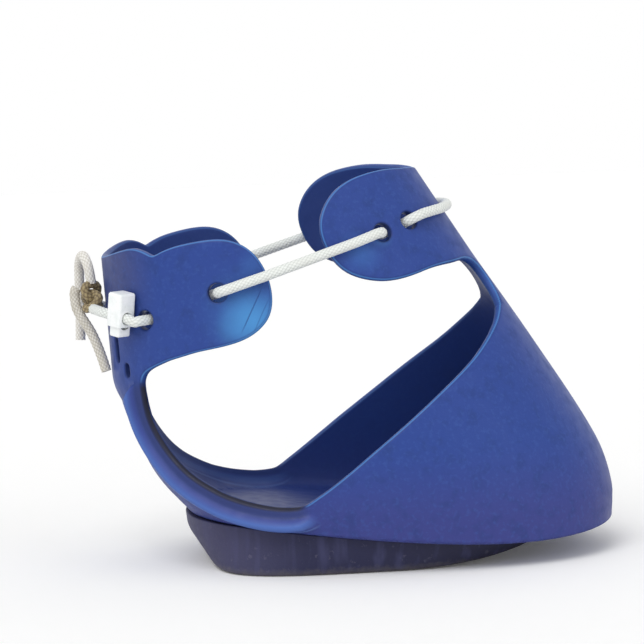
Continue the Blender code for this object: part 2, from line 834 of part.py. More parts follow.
def make_side_laces(name, side):
    heel_wing = [
        skin(side * 133.0, 0.767, under()), *on_skin(heel_wing_inside, side, under()),
        *crossing(*heel_hole_shares, side, inward=False),
        *on_skin(heel_wing_outside, side, over()), skin(side * side_span[0][0], side_span[0][1], over()),
    ]
    span = on_skin(side_span, side, over())
    front_wing = [
        span[1], *on_skin(front_wing_outside, side, over()),
        *crossing(*front_hole_shares, side, inward=True),
        *crossing(*tongue_hole_shares, side, inward=False),
        skin(side * front_run[0][0], front_run[0][1], over()),
    ]
    return {
        "lace_heel_wing_" + name: lace_piece("lace_heel_wing_" + name, heel_wing),
        "lace_side_" + name: lace_piece("lace_side_" + name, span),
        "lace_front_wing_" + name: lace_piece("lace_front_wing_" + name, front_wing),
    }


def make_front_lace():
    half = front_run[:-1]
    run = on_skin(half, right, over()) + [skin(0, front_run[-1][1], over())]
    run += on_skin(half, left, over())[::-1]
    return lace_piece("lace_front", run)


def make_knot():
    """Trefoil that joins the lace's ends, flat against the back of the strap."""
    placement = knot_frame()
    points = []
    steps = 30
    for step in range(steps):
        t = 2 * math.pi * step / steps
        points.append(placement @ Vector((
            knot_size * (math.sin(t) + 2 * math.sin(2 * t)),
            knot_size * (2 * math.cos(2 * t) - math.cos(t)), -knot_depth * math.sin(3 * t))))
    return cord("lace_knot", points, knot_wire_radius, lace_white, closed=True)


def make_tail(name, route):
    placement = knot_frame()
    return lace_piece(name, [placement @ Vector(place) for place in route], start=0, end=0)


# The cord lock

def lock_placement(height):
    """Placement in the lock with Z up its length, at a height above the bore."""
    bore = lock_frame()
    turn = bore.to_3x3()
    x, y, z = turn.col[0], turn.col[1], turn.col[2]
    upright = Matrix((z, -x, y)).transposed().to_4x4()
    return Matrix.Translation(bore.translation + y * height) @ upright


def make_lock_body():
    floor = -lock_bore_height
    bm = bmesh.new()
    box(bm, (lock_length, lock_depth, lock_height), lock_placement(floor + lock_height / 2))
    body = link("cord_lock_body", finish_mesh(bm, "cord_lock_body"), lock_white)
    bevel = body.modifiers.new("edges", "BEVEL")
    bevel.width = lock_edge
    bevel.segments = 2
    bm = bmesh.new()
    depth = lock_height - lock_roof + overrun
    box(bm, (lock_length - 2 * lock_wall, lock_depth - 2 * lock_wall, depth),
        lock_placement(floor - overrun + depth / 2))
    boolean(body, bare_cutter("lock_cavity", bm))
    bm = bmesh.new()
    rod(bm, lock_bore_radius, lock_length + 2 * overrun, lock_frame())
    boolean(body, bare_cutter("lock_bore", bm))
    return body


def make_plunger():
    """Plunger whose tall window lets it travel up past the lace."""
    top = lock_bore_radius + plunger_crown
    floor = -lock_bore_height - plunger_stick_out
    shrink = 2 * (lock_wall + lock_clearance)
    bm = bmesh.new()
    box(bm, (lock_length - shrink, lock_depth - shrink, top - floor), lock_placement((top + floor) / 2))
    plunger = link("cord_lock_plunger", finish_mesh(bm, "cord_lock_plunger"), lock_white)
    bevel = plunger.modifiers.new("edges", "BEVEL")
    bevel.width = lock_edge / 2
    bevel.segments = 1
    bm = bmesh.new()
    slot(bm, lock_bore_radius, -lock_bore_radius - plunger_travel, lock_bore_radius,
         lock_length + 2 * overrun, lock_frame())
    boolean(plunger, bare_cutter("plunger_window", bm))
    return plunger


def make_spring():
    low = lock_bore_radius + plunger_crown + gap + spring_wire_radius
    high = lock_height - lock_bore_height - lock_roof - gap - spring_wire_radius
    steps = 9 * spring_turns
    points = []
    for step in range(steps + 1):
        turn = 2 * math.pi * spring_turns * step / steps
        points.append(lock_placement(low + (high - low) * step / steps) @ Vector((
            spring_radius * math.cos(turn), spring_radius * math.sin(turn), 0)))
    return cord("cord_lock_spring", points, spring_wire_radius, spring_steel, resolution=1)


# Joints

def hinge(name, place, parent=None):
    """Empty on a joint's axis, under the empty of the body that carries it."""
    made = bpy.data.objects.new(name, None)
    made.empty_display_size = rim_half_width
    parts.objects.link(made)
    made.parent = parent
    made.location = place - world_place(parent)
    return made


def world_place(thing):
    place = Vector((0, 0, 0))
    while thing:
        place += thing.location
        thing = thing.parent
    return place


def ride(joint, *pieces):
    """Hang pieces that were made in their real places on a joint's empty."""
    for piece in pieces:
        piece.parent = joint
        piece.location = -world_place(joint)


def bend_line(angle, low, high):
    """Middle of a wing's bend on the skin's outer face, and its direction upward."""
    bottom = skin(angle, low)
    top = skin(angle, high)
    return (bottom + top) / 2, (top - bottom).normalized()


def tell(name, kind, place, axis):
    print(name, kind, "pos", [round(v, 6) for v in place], "axis", [round(v, 6) for v in axis])


def build():
    make_sole()
    make_shell()
    tongue = make_middle("front_tongue", tongue_shares, neck_share)
    strap = make_middle("heel_strap", strap_shares, heel_neck_share)
    for name, side in sides.items():
        boolean(strap, lace_hole("strap_hole_" + name, side * strap_hole_shares[0], strap_hole_shares[1]))
        for number, (angle, low, high) in enumerate(slot_shares):
            boolean(strap, upright_slot(f"strap_slot_{number}_{name}", side * angle, low, high))

    tongue_place = skin(0, neck_share)
    strap_place = skin(180, heel_neck_share)
    tongue_hinge = hinge("front_tongue_bend", tongue_place)
    strap_hinge = hinge("heel_strap_bend", strap_place)
    ride(tongue_hinge, tongue, make_front_lace())
    ride(strap_hinge, strap, make_lock_strand(), make_left_strand(), make_knot(),
         make_tail("lace_tail_outer", outer_tail), make_tail("lace_tail_inner", inner_tail))
    tell("front_tongue_bend", "hinge", tongue_place, (0, 1, 0))
    tell("heel_strap_bend", "hinge", strap_place, (0, -1, 0))

    for name, side in sides.items():
        laces = make_side_laces(name, side)
        heel_wing = make_wing("heel_wing_" + name, heel_wing_shares, side, toward_toe=True)
        front_wing = make_wing("front_wing_" + name, front_wing_shares, side, toward_toe=False)
        boolean(heel_wing, lace_hole("heel_hole_" + name, side * heel_hole_shares[0], heel_hole_shares[1]))
        for key, shares in (("front", front_hole_shares), ("tongue", tongue_hole_shares)):
            boolean(front_wing, lace_hole(f"{key}_hole_{name}", side * shares[0], shares[1]))
        place, axis = bend_line(side * heel_wing_shares[0][0], *heel_wing_shares[0][1:])
        joint = hinge(f"heel_wing_{name}_bend", place, strap_hinge)
        ride(joint, heel_wing, laces["lace_heel_wing_" + name], laces["lace_side_" + name])
        tell(f"heel_wing_{name}_bend", "hinge", place, side * axis)
        place, axis = bend_line(side * front_wing_shares[0][0], *front_wing_shares[0][1:])
        joint = hinge(f"front_wing_{name}_bend", place, tongue_hinge)
        ride(joint, front_wing, laces["lace_front_wing_" + name])
        tell(f"front_wing_{name}_bend", "hinge", place, -side * axis)

    bore = lock_frame()
    lock_joint = hinge("cord_lock_slide", bore.translation, strap_hinge)
    ride(lock_joint, make_lock_body(), make_spring())
    tell("cord_lock_slide", "slide", bore.translation, -bore.to_3x3().col[2])
    plunger_joint = hinge("cord_lock_press", bore.translation, lock_joint)
    ride(plunger_joint, make_plunger())
    tell("cord_lock_press", "slide", bore.translation, bore.to_3x3().col[1])


build()
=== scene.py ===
import math

import bmesh
import bpy
import numpy as np
from mathutils import Matrix, Vector, geometry, kdtree


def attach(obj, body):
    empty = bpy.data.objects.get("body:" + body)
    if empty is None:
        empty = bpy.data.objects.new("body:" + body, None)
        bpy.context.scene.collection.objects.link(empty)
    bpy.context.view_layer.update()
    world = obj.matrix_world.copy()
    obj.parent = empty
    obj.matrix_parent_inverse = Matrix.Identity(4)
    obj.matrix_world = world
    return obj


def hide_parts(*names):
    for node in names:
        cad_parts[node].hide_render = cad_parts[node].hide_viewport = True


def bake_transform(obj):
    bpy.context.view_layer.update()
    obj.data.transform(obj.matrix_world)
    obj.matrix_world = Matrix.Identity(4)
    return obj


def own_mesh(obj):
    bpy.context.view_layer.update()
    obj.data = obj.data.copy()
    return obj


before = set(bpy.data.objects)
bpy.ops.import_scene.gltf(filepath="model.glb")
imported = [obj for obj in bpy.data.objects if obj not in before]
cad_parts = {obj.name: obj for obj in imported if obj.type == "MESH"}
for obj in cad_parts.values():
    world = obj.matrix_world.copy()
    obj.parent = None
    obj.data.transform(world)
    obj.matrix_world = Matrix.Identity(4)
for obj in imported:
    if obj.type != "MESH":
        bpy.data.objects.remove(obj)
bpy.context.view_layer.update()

# Camera, at the photograph's angle
cameraView = {"azimuth": -6.0, "elevation": 5.5, "roll": 2.0,  # degrees
              "target": (0, 0, 0.0933), "distance": 1.2, "frameWidth": 0.2576, "sensor": 36.0}


def outward(turn, tilt):
    return Vector((math.sin(turn) * math.cos(tilt), -math.cos(turn) * math.cos(tilt), math.sin(tilt)))


def placed(place, x, y, z):
    return Matrix.Translation(place) @ Matrix((x, y, z)).transposed().to_4x4()


def makeCamera(view):
    turn, tilt, roll = [math.radians(view[key]) for key in ("azimuth", "elevation", "roll")]
    back = outward(turn, tilt)
    level = Vector((math.cos(turn), math.sin(turn), 0))
    upright = back.cross(level)
    across = level * math.cos(roll) - upright * math.sin(roll)
    up = level * math.sin(roll) + upright * math.cos(roll)
    lens = bpy.data.cameras.new("photoCamera")
    lens.sensor_width = view["sensor"]
    lens.lens = view["sensor"] * view["distance"] / view["frameWidth"]
    camera = addObject("photoCamera", lens)
    camera.matrix_world = placed(Vector(view["target"]) + back * view["distance"], across, up, back)
    bpy.context.scene.camera = camera


# The skin, the outer face of the blue moulding, as the frame's source draws it.
# A place on it is degrees round from the toe and a share of its height.
stationShares = np.array([0.0, 0.1, 0.2, 0.4, 0.6, 1.0])
stations = np.array([  # heel x, heel z, toe x, toe z, half width, belly, roundness at heel and toe
    (-0.0555, 0.0202, 0.1137, 0.0121, 0.0600, 0.0050, 2.35, 2.50),
    (-0.0660, 0.0320, 0.1140, 0.0260, 0.0610, 0.0030, 2.35, 2.45),
    (-0.0720, 0.0420, 0.1080, 0.0445, 0.0600, 0.0010, 2.35, 2.40),
    (-0.0795, 0.0620, 0.0840, 0.0840, 0.0550, 0.0000, 2.30, 2.30),
    (-0.0845, 0.0770, 0.0600, 0.1205, 0.0490, 0.0000, 2.25, 2.20),
    (-0.0870, 0.1235, 0.0380, 0.1555, 0.0430, 0.0000, 2.20, 2.10)])
stationSteps = np.diff(stations, axis=0) / np.diff(stationShares)[:, None]
stationSlopes = np.vstack([
    stationSteps[0],
    (stations[2:5] - stations[0:3]) / (stationShares[2:5] - stationShares[0:3])[:, None],
    stationSteps[4]])


def hermite(u, span, a, b, slopeA, slopeB):
    return ((2 * u**3 - 3 * u**2 + 1) * a + (3 * u**2 - 2 * u**3) * b
            + (u**3 - 2 * u**2 + u) * span * slopeA + (u**3 - u**2) * span * slopeB)


def stationValues(share):
    share = np.atleast_1d(share)[:, None]
    i = np.clip(np.searchsorted(stationShares, share[:, 0], side="right") - 1, 0, 3)
    span = (stationShares[i + 1] - stationShares[i])[:, None]
    u = (share - stationShares[i][:, None]) / span
    curved = hermite(u, span, stations[i], stations[i + 1], stationSlopes[i], stationSlopes[i + 1])
    straight = stations[4] + stationSteps[4] * (share - stationShares[4])
    return np.where(share >= stationShares[4], straight, curved)


def signedPower(turn, power):
    return np.copysign(np.abs(turn) ** (2 / power), turn)


def bellyHeight(u, heelZ, toeZ, belly):
    return heelZ + (toeZ - heelZ) * u - belly * 27 / 4 * u * u * (1 - u)


def floorHeight(x):
    heelX, heelZ, toeX, toeZ, _, belly = stations[0][:6]
    return bellyHeight((x - heelX) / (toeX - heelX), heelZ, toeZ, belly)


def unit(vectors):
    return vectors / np.linalg.norm(vectors, axis=-1, keepdims=True)


def skinPoints(angle, share):
    heelX, heelZ, toeX, toeZ, halfWidth, belly, heelPower, toePower = stationValues(share).T
    along, across = np.cos(np.radians(angle)), np.sin(np.radians(angle))
    power = np.where(along > 0, toePower, heelPower)
    u = (1 + signedPower(along, power)) / 2
    return np.stack([heelX + (toeX - heelX) * u, halfWidth * signedPower(across, power),
                     bellyHeight(u, heelZ, toeZ, belly)], axis=-1)


def skinAcross(angle, share):
    return skinPoints(angle + 0.5, share) - skinPoints(angle - 0.5, share)


def skinUp(angle, share):
    return (skinPoints(angle, share + 0.005) - skinPoints(angle, share - 0.005)) * 100


def skinNormals(angle, share):
    return unit(np.cross(skinAcross(angle, share), skinUp(angle, share)))


def moveOnSkin(angle, share, step):
    across, up = skinAcross(angle, share), skinUp(angle, share)
    aa, uu, au = (across**2).sum(-1), (up**2).sum(-1), (across * up).sum(-1)
    sa, su = (across * step).sum(-1), (up * step).sum(-1)
    spread = aa * uu - au**2
    return angle + (sa * uu - su * au) / spread, share + (su * aa - sa * au) / spread


def skin(angle, share, out=0.0):
    return Vector(skinPoints(angle, share)[0] + skinNormals(angle, share)[0] * out)


def degreesOf(length, angle, share):
    return length / np.linalg.norm(skinAcross(angle, share)[0])


def frameAt(place, zAxis, upright):
    z = zAxis.normalized()
    x = upright.cross(z).normalized()
    return placed(place, x, z.cross(x), z)


# Node trees, colours and meshes

def toLinear(text):
    channels = [int(text[i:i + 2], 16) / 255 for i in (1, 3, 5)]
    return [c / 12.92 if c <= 0.04045 else ((c + 0.055) / 1.055) ** 2.4 for c in channels] + [1.0]


def addNode(tree, kind, inputs=None, out=0, **settings):
    whole = kind.startswith("GeometryNode") or kind.startswith("NodeGroup")
    node = tree.nodes.new(kind if whole else "ShaderNode" + kind)
    for key, value in settings.items():
        setattr(node, key, value)
    for key, value in (inputs or {}).items():
        if isinstance(value, bpy.types.NodeSocket):
            tree.links.new(value, node.inputs[key])
        else:
            node.inputs[key].default_value = value
    return node if out is None else node.outputs[out]


def startMaterial(name, roughness, ior=1.5, metallic=0.0):
    made = bpy.data.materials.new(name)
    made.use_nodes = True
    shader = made.node_tree.nodes["Principled BSDF"]
    shader.inputs["Roughness"].default_value = roughness
    shader.inputs["IOR"].default_value = ior
    shader.inputs["Metallic"].default_value = metallic
    return made, made.node_tree, shader


def layColours(tree, colour, layers):
    # each layer: what it follows, where it starts and is full, how strong it gets, and its colour
    for follows, start, full, most, shade in layers:
        where = addNode(tree, "MapRange", {0: follows, 1: start, 2: full, 3: 0.0, 4: most})
        colour = addNode(tree, "Mix", {0: where, 6: colour, 7: toLinear(shade)}, 2, data_type="RGBA")
    return colour


def linkFinish(tree, shader, colour, rough=None, relief=None, strength=0.6, depth=0.0):
    values = {"Base Color": colour}
    if rough is not None:  # what it follows, its low and high end, and the roughness at each
        values["Roughness"] = addNode(tree, "MapRange", dict(enumerate(rough)))
    if relief is not None:
        values["Normal"] = addNode(tree, "Bump", {"Strength": strength, "Distance": depth, "Height": relief})
    for name, value in values.items():
        tree.links.new(value, shader.inputs[name])


def addObject(name, data):
    made = bpy.data.objects.new(name, data)
    bpy.context.scene.collection.objects.link(made)
    return made


def meshOf(made):
    graph = bpy.context.evaluated_depsgraph_get()
    return bpy.data.meshes.new_from_object(made.evaluated_get(graph), preserve_all_data_layers=True,
                                           depsgraph=graph)


def meshFrom(name, points, faces):
    mesh = bpy.data.meshes.new(name)
    mesh.from_pydata(points.tolist(), [], [tuple(int(k) for k in face) for face in faces])
    mesh.update()
    return mesh


def storeValues(mesh, name, values):
    values = np.asarray(values, np.float32)
    kind, field = ("FLOAT", "value") if values.ndim == 1 else ("FLOAT_VECTOR", "vector")
    mesh.attributes.new(name, kind, "POINT").data.foreach_set(field, values.ravel())


def dressPiece(piece, carrier, node):
    if isinstance(carrier, str):
        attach(piece, carrier)
    else:
        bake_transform(piece)
    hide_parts(node)


makeCamera(cameraView)


# The blue moulding: one skin for the shell, tongue, strap and wings, cut into pieces at its bends
moulding = {"wall": 0.0034, "edgeRound": 0.0012, "innerRound": 0.0010, "footRound": 0.0010,
            "floorFillet": 0.0055, "edgeStep": 0.0011, "meshStep": 0.0020, "floorStep": 0.0034,
            "laceHoleRadius": 0.0037, "holeRound": 0.0007, "slotHalfWidth": 0.0016,
            "capFairing": 0.0075, "edgeFairing": 0.0025, "fine": 5, "diagonal": (20, 108, 0.48),
            "heelRows": 62, "toeRows": 70, "footPlaces": 181, "footRingPlaces": 150, "innerTop": 0.2,
            "holeSides": (32, 120), "slotSides": (16, 16),  # in the mesh, and to measure from
            "strapFrom": 130, "wingsMeet": 85, "wingsAbove": 0.55,  # degrees and share that part the pieces
            "gridFromEdge": 0.0030, "gridFromHole": 0.0022, "gridFromRim": 0.0125, "gridApart": 0.55,
            "gridFromMiddle": 0.8, "gridFromFoot": 0.065, "rimStarts": 0.02,  # degrees, share, share
            "ringFromMiddle": 0.3, "ringFromFoot": 0.002, "ringFromEdge": 0.9,  # degrees, share, share
            "ringFromSeam": 0.00025, "footFromEdge": 0.0006,
            "seamClear": 0.8, "seamStep": 1.5, "plainReach": 2.0,  # these and all the rings in mm
            "holeRings": [0.12, 0.3, 0.7, 1.3], "footRings": [0.15, 0.4, 0.8, 1.3, 1.9, 2.6, 3.4, 4.4, 5.6],
            "edgeRings": [0.12, 0.35, 0.75, 1.25, 1.9],
            "rimRings": [2.7, 3.4, 3.9, 4.4, 5.0, 5.7, 6.5, 7.3, 7.9, 8.4, 8.8, 9.2, 9.7, 10.5, 11.6]}

# Free edge from the tongue's top round both wings to the strap's top: degrees, share, share of the rim
freeEdge = [
    (0.0, 0.985, 0), (2.6, 0.986, 0), (5.2, 0.988, 0), (7.8, 0.990, 0), (9.8, 0.992, 0), (12.0, 0.994, 0),
    (14.4, 0.997, 0), (17.2, 1.000, 0), (20.4, 1.004, 0), (23.8, 1.008, 0), (27.0, 1.012, 0),
    (32.5, 1.021, 0), (38.0, 1.030, 0), (44.0, 1.036, 0), (50.0, 1.038, 0), (56.0, 1.036, 0),
    (61.0, 1.026, 0), (65.0, 1.012, 0), (68.5, 0.991, 0), (71.5, 0.966, 0), (73.8, 0.938, 0),
    (75.4, 0.910, 0), (76.4, 0.875, 0), (76.7, 0.830, 0),  # tip of the front wing
    (76.4, 0.785, 0), (75.4, 0.745, 0), (73.8, 0.713, 0), (71.5, 0.686, 0), (68.5, 0.662, 0),
    (65.0, 0.642, 0), (61.0, 0.628, 0), (56.0, 0.620, 0), (50.0, 0.617, 0), (44.0, 0.617, 0),
    (38.0, 0.611, 0), (32.5, 0.603, 0), (27.0, 0.5975, 0),
    (23.0, 0.594, 0), (18.6, 0.585, 0), (14.6, 0.573, 0), (11.6, 0.560, 0), (10.2, 0.545, 0),
    (10.4, 0.530, 0), (11.6, 0.515, 0),  # the tongue's neck
    (13.4, 0.502, 0), (15.8, 0.491, 0), (18.8, 0.481, 0), (23.6, 0.471, 0), (30.2, 0.4595, 0),
    (38.0, 0.444, 0), (44.6, 0.4285, 0), (49.6, 0.4145, 0), (54.0, 0.4015, 0), (60.0, 0.384, 0),
    (65.9, 0.366, 0), (71.4, 0.3455, 0), (76.2, 0.3255, 0), (80.6, 0.3055, 0), (84.5, 0.2855, 0),
    (87.9, 0.264, 0), (90.4, 0.2445, 0), (93.3, 0.220, 0), (96.6, 0.1945, 0), (100.1, 0.1705, 0),
    (103.9, 0.1445, 0), (107.7, 0.1205, 0), (111.2, 0.0985, 0.1),
    (114.6, 0.0825, 0.9), (121.8, 0.0745, 1), (130.4, 0.083, 1), (137.2, 0.102, 1),
    (141.8, 0.128, 1), (146.4, 0.162, 1), (149.8, 0.202, 1), (152.6, 0.244, 1), (154.6, 0.284, 1),
    (156.0, 0.325, 1), (156.5, 0.365, 1), (155.6, 0.410, 1), (153.9, 0.448, 1), (152.6, 0.474, 1),
    (151.5, 0.500, 1),  # the strap's neck
    (150.2, 0.530, 0.9), (149.2, 0.560, 0.3), (147.6, 0.582, 0), (145.0, 0.594, 0), (141.0, 0.602, 0),
    (137.0, 0.607, 0), (133.5, 0.611, 0),
    (128.0, 0.612, 0), (122.5, 0.613, 0), (117.0, 0.608, 0), (111.0, 0.603, 0), (106.0, 0.604, 0),
    (102.0, 0.615, 0), (99.0, 0.634, 0), (97.0, 0.657, 0), (95.6, 0.690, 0), (94.8, 0.728, 0),
    (94.5, 0.775, 0),  # tip of the heel wing
    (94.8, 0.822, 0), (95.6, 0.861, 0), (97.0, 0.895, 0), (99.0, 0.924, 0), (102.0, 0.950, 0),
    (106.0, 0.968, 0), (111.0, 0.978, 0), (117.0, 0.983, 0), (122.5, 0.985, 0), (128.0, 0.981, 0),
    (133.5, 0.973, 0),
    (136.6, 0.988, 0), (140.0, 1.004, 0), (143.6, 1.014, 0), (147.2, 1.015, 0), (151.0, 1.014, 0),
    (155.5, 1.012, 0), (160.0, 1.009, 0), (165.0, 1.006, 0), (170.0, 1.003, 0), (175.0, 1.001, 0),
    (180.0, 1.000, 0)]
# Ends of the bends, low and high, and the corner where the rim meets the cap
neckEnd, heelNeckEnd, rimCorner = (11.6, 0.515), (151.5, 0.500), (111.2, 0.0985)
wingEnds, heelWingEnds = ((27.0, 0.5975), (27.0, 1.012)), ((133.5, 0.611), (133.5, 0.973))
heldPlaces = {neckEnd, heelNeckEnd, rimCorner, *wingEnds, *heelWingEnds}
laceHoles = [(141.6, 0.765), (110.7, 0.789), (55.6, 0.807), (41.9, 0.813)]
uprightSlots = [(164.6, 0.640, 0.730), (157.0, 0.585, 0.635)]

# Section across the rolled rim, in mm: distance from the free edge, height outside the skin
rimSection = np.array([
    (0, -2.2), (0.12, -1.4), (0.4, -0.75), (0.9, -0.3), (1.8, 0.0), (2.6, 0.15), (3.1, 0.4), (3.6, 1.1),
    (4.2, 2.4), (5.0, 3.6), (5.9, 4.2), (6.8, 4.2), (7.6, 3.7), (8.3, 2.8), (8.8, 1.7), (9.2, 0.8),
    (9.7, 0.2), (10.4, 0.0)]) / 1000


def runLengths(points, power=1):
    return np.concatenate([[0], np.cumsum(np.linalg.norm(np.diff(points, axis=0), axis=1) ** power)])


# The skin unrolled, so that steps along it are even
arcTable = np.linspace(-2, 182, 737)
arcLengths = runLengths(skinPoints(arcTable, 0.45))
unrolledHeight = 0.115


def unroll(angle, share):
    return np.stack([np.interp(angle, arcTable, arcLengths), share * unrolledHeight], -1)


def rollUp(flat):
    return np.interp(flat[:, 0], arcLengths, arcTable), flat[:, 1] / unrolledHeight


def sampleEdge(rows, step, fine):
    rows = np.array(rows, float)
    points = skinPoints(*rows[:, :2].T)
    t = runLengths(points, 0.5)
    slope = np.gradient(points, t, axis=0)
    targets, guess, held = [], [], []
    for i in range(len(rows) - 1):
        count = fine * max(1, int(round(np.linalg.norm(points[i + 1] - points[i]) / step)))
        if tuple(rows[i][:2]) in heldPlaces:
            held.append(len(targets))
        for u in np.arange(count) / count:
            targets.append(hermite(u, t[i + 1] - t[i], *points[i:i + 2], *slope[i:i + 2]))
            guess.append(rows[i] * (1 - u) + rows[i + 1] * u)
    targets = np.array(targets + [points[-1]])
    angle, share, rim = np.array(guess + [rows[-1]]).T
    # fair the line between the places that it keeps, most on the cap's long diagonal
    length = runLengths(targets)
    free = np.abs(length[:, None] - length[[0, *held, -1]]).min(1)
    low, high, top = moulding["diagonal"]
    diagonal = (angle > low) & (angle < high) & (share < top)
    fairing = np.where(diagonal, moulding["capFairing"], moulding["edgeFairing"])
    spread = np.maximum(1e-5, np.minimum(fairing, free * 0.4))
    weight = np.exp(-0.5 * ((length[:, None] - length) / spread[:, None]) ** 2)
    targets = (weight @ targets) / weight.sum(1, keepdims=True)
    for _ in range(6):  # back onto the skin
        angle, share = moveOnSkin(angle, share, targets - skinPoints(angle, share))
    angle[0], angle[-1] = rows[0, 0], rows[-1, 0]
    return angle, share, np.clip(rim, 0, 1)


def ringPlaces(centre, radius, count):
    turn = np.arange(count)[:, None] * 2 * math.pi / count
    across, up = unit(skinAcross(*centre)), skinUp(*centre)
    up = unit(up - across * (up * across).sum(1, keepdims=True))
    return moveOnSkin(*centre, across * np.cos(turn) * radius + up * np.sin(turn) * radius)


def slotPlaces(slot, radius, count):
    angle, low, high = slot
    middle = (low + high) / 2
    reach = np.linalg.norm(skinPoints(angle, high) - skinPoints(angle, low)) / 2 - moulding["slotHalfWidth"]
    up = unit(skinUp(angle, middle)[0])
    across = np.cross(up, skinNormals(angle, middle)[0])
    outline = []
    for end in (1, -1):
        for turn in np.linspace(0, math.pi, count // 2):
            rise = reach + radius * math.sin(turn)
            outline.append(across * end * radius * math.cos(turn) + up * end * rise)
        for part in np.linspace(0, 1, 8)[1:-1]:
            outline.append(-across * end * radius + up * end * reach * (1 - 2 * part))
    return moveOnSkin(angle, middle, np.array(outline))


hexRow = 0.866  # rows of an even triangle grid, per step
gridClear = 0.6  # steps that a grid keeps from its border


def insidePolygon(points, polygon):
    a, b = polygon, np.roll(polygon, -1, axis=0)
    inside = np.zeros(len(points), bool)
    for (x0, y0), (x1, y1) in zip(a, b):
        if y0 == y1:
            continue
        crosses = (points[:, 1] > min(y0, y1)) & (points[:, 1] <= max(y0, y1))
        inside ^= crosses & (points[:, 0] < x0 + (points[:, 1] - y0) * (x1 - x0) / (y1 - y0))
    return inside


def nearest(tree, points):
    found = [tree.find(Vector(point)) for point in points]
    return np.array([f[2] for f in found]), np.array([f[1] for f in found])


def treeOf(points):
    tree = kdtree.KDTree(len(points))
    for i, point in enumerate(points):
        tree.insert(Vector(point), i)
    tree.balance()
    return tree


def chainOf(count, start, closed=False):
    return [(start + i, start + (i + 1) % count) for i in range(count if closed else count - 1)]


def triangulate(flat, border, lines, holes):
    result = geometry.delaunay_2d_cdt([Vector(p) for p in flat * 1000], lines, [], 1, 1e-7)
    ids = [origin[0] if origin else -1 for origin in result[3]]
    faces = np.array([[ids[k] for k in face] for face in result[2] if len(face) == 3])
    faces = faces[(faces >= 0).all(1)]
    centres = flat[faces].mean(1)
    keep = insidePolygon(centres, flat[border])
    for hole in holes:
        keep &= ~insidePolygon(centres, flat[hole])
    faces = faces[keep]
    a, b, c = flat[faces[:, 0]], flat[faces[:, 1]], flat[faces[:, 2]]
    turned = (b[:, 0] - a[:, 0]) * (c[:, 1] - a[:, 1]) - (b[:, 1] - a[:, 1]) * (c[:, 0] - a[:, 0]) < 0
    faces[turned] = faces[turned][:, ::-1]
    return faces


def hexGrid(low, high, step):
    return np.array([(low[0] + (i + 0.5 * (j % 2)) * step, low[1] + j * step * hexRow)
                     for i in range(int((high[0] - low[0]) / step) + 1)
                     for j in range(int((high[1] - low[1]) / (step * hexRow)) + 1)])


def fillOutline(outlines, step):
    # the first outline is the border and the others are holes in it
    grid = hexGrid(outlines[0].min(0), outlines[0].max(0), step)
    grid = grid[insidePolygon(grid, outlines[0])]
    for hole in outlines[1:]:
        grid = grid[~insidePolygon(grid, hole)]
    border = np.concatenate(outlines)
    far, index = nearest(treeOf(np.column_stack([border, np.zeros(len(border))])),
                         np.column_stack([grid, np.zeros(len(grid))]))
    grid = grid[far > step * gridClear]
    loops, lines, start = [], [], 0
    for outline in outlines:
        loops.append(list(range(start, start + len(outline))))
        lines += chainOf(len(outline), start, True)
        start += len(outline)
    return grid, triangulate(np.concatenate([border, grid]), loops[0], lines, loops[1:])


def rowsThrough(start, end, count, share):
    rows = np.linspace(start, end, count)
    rows[np.argmin(abs(rows - share))] = share
    return rows


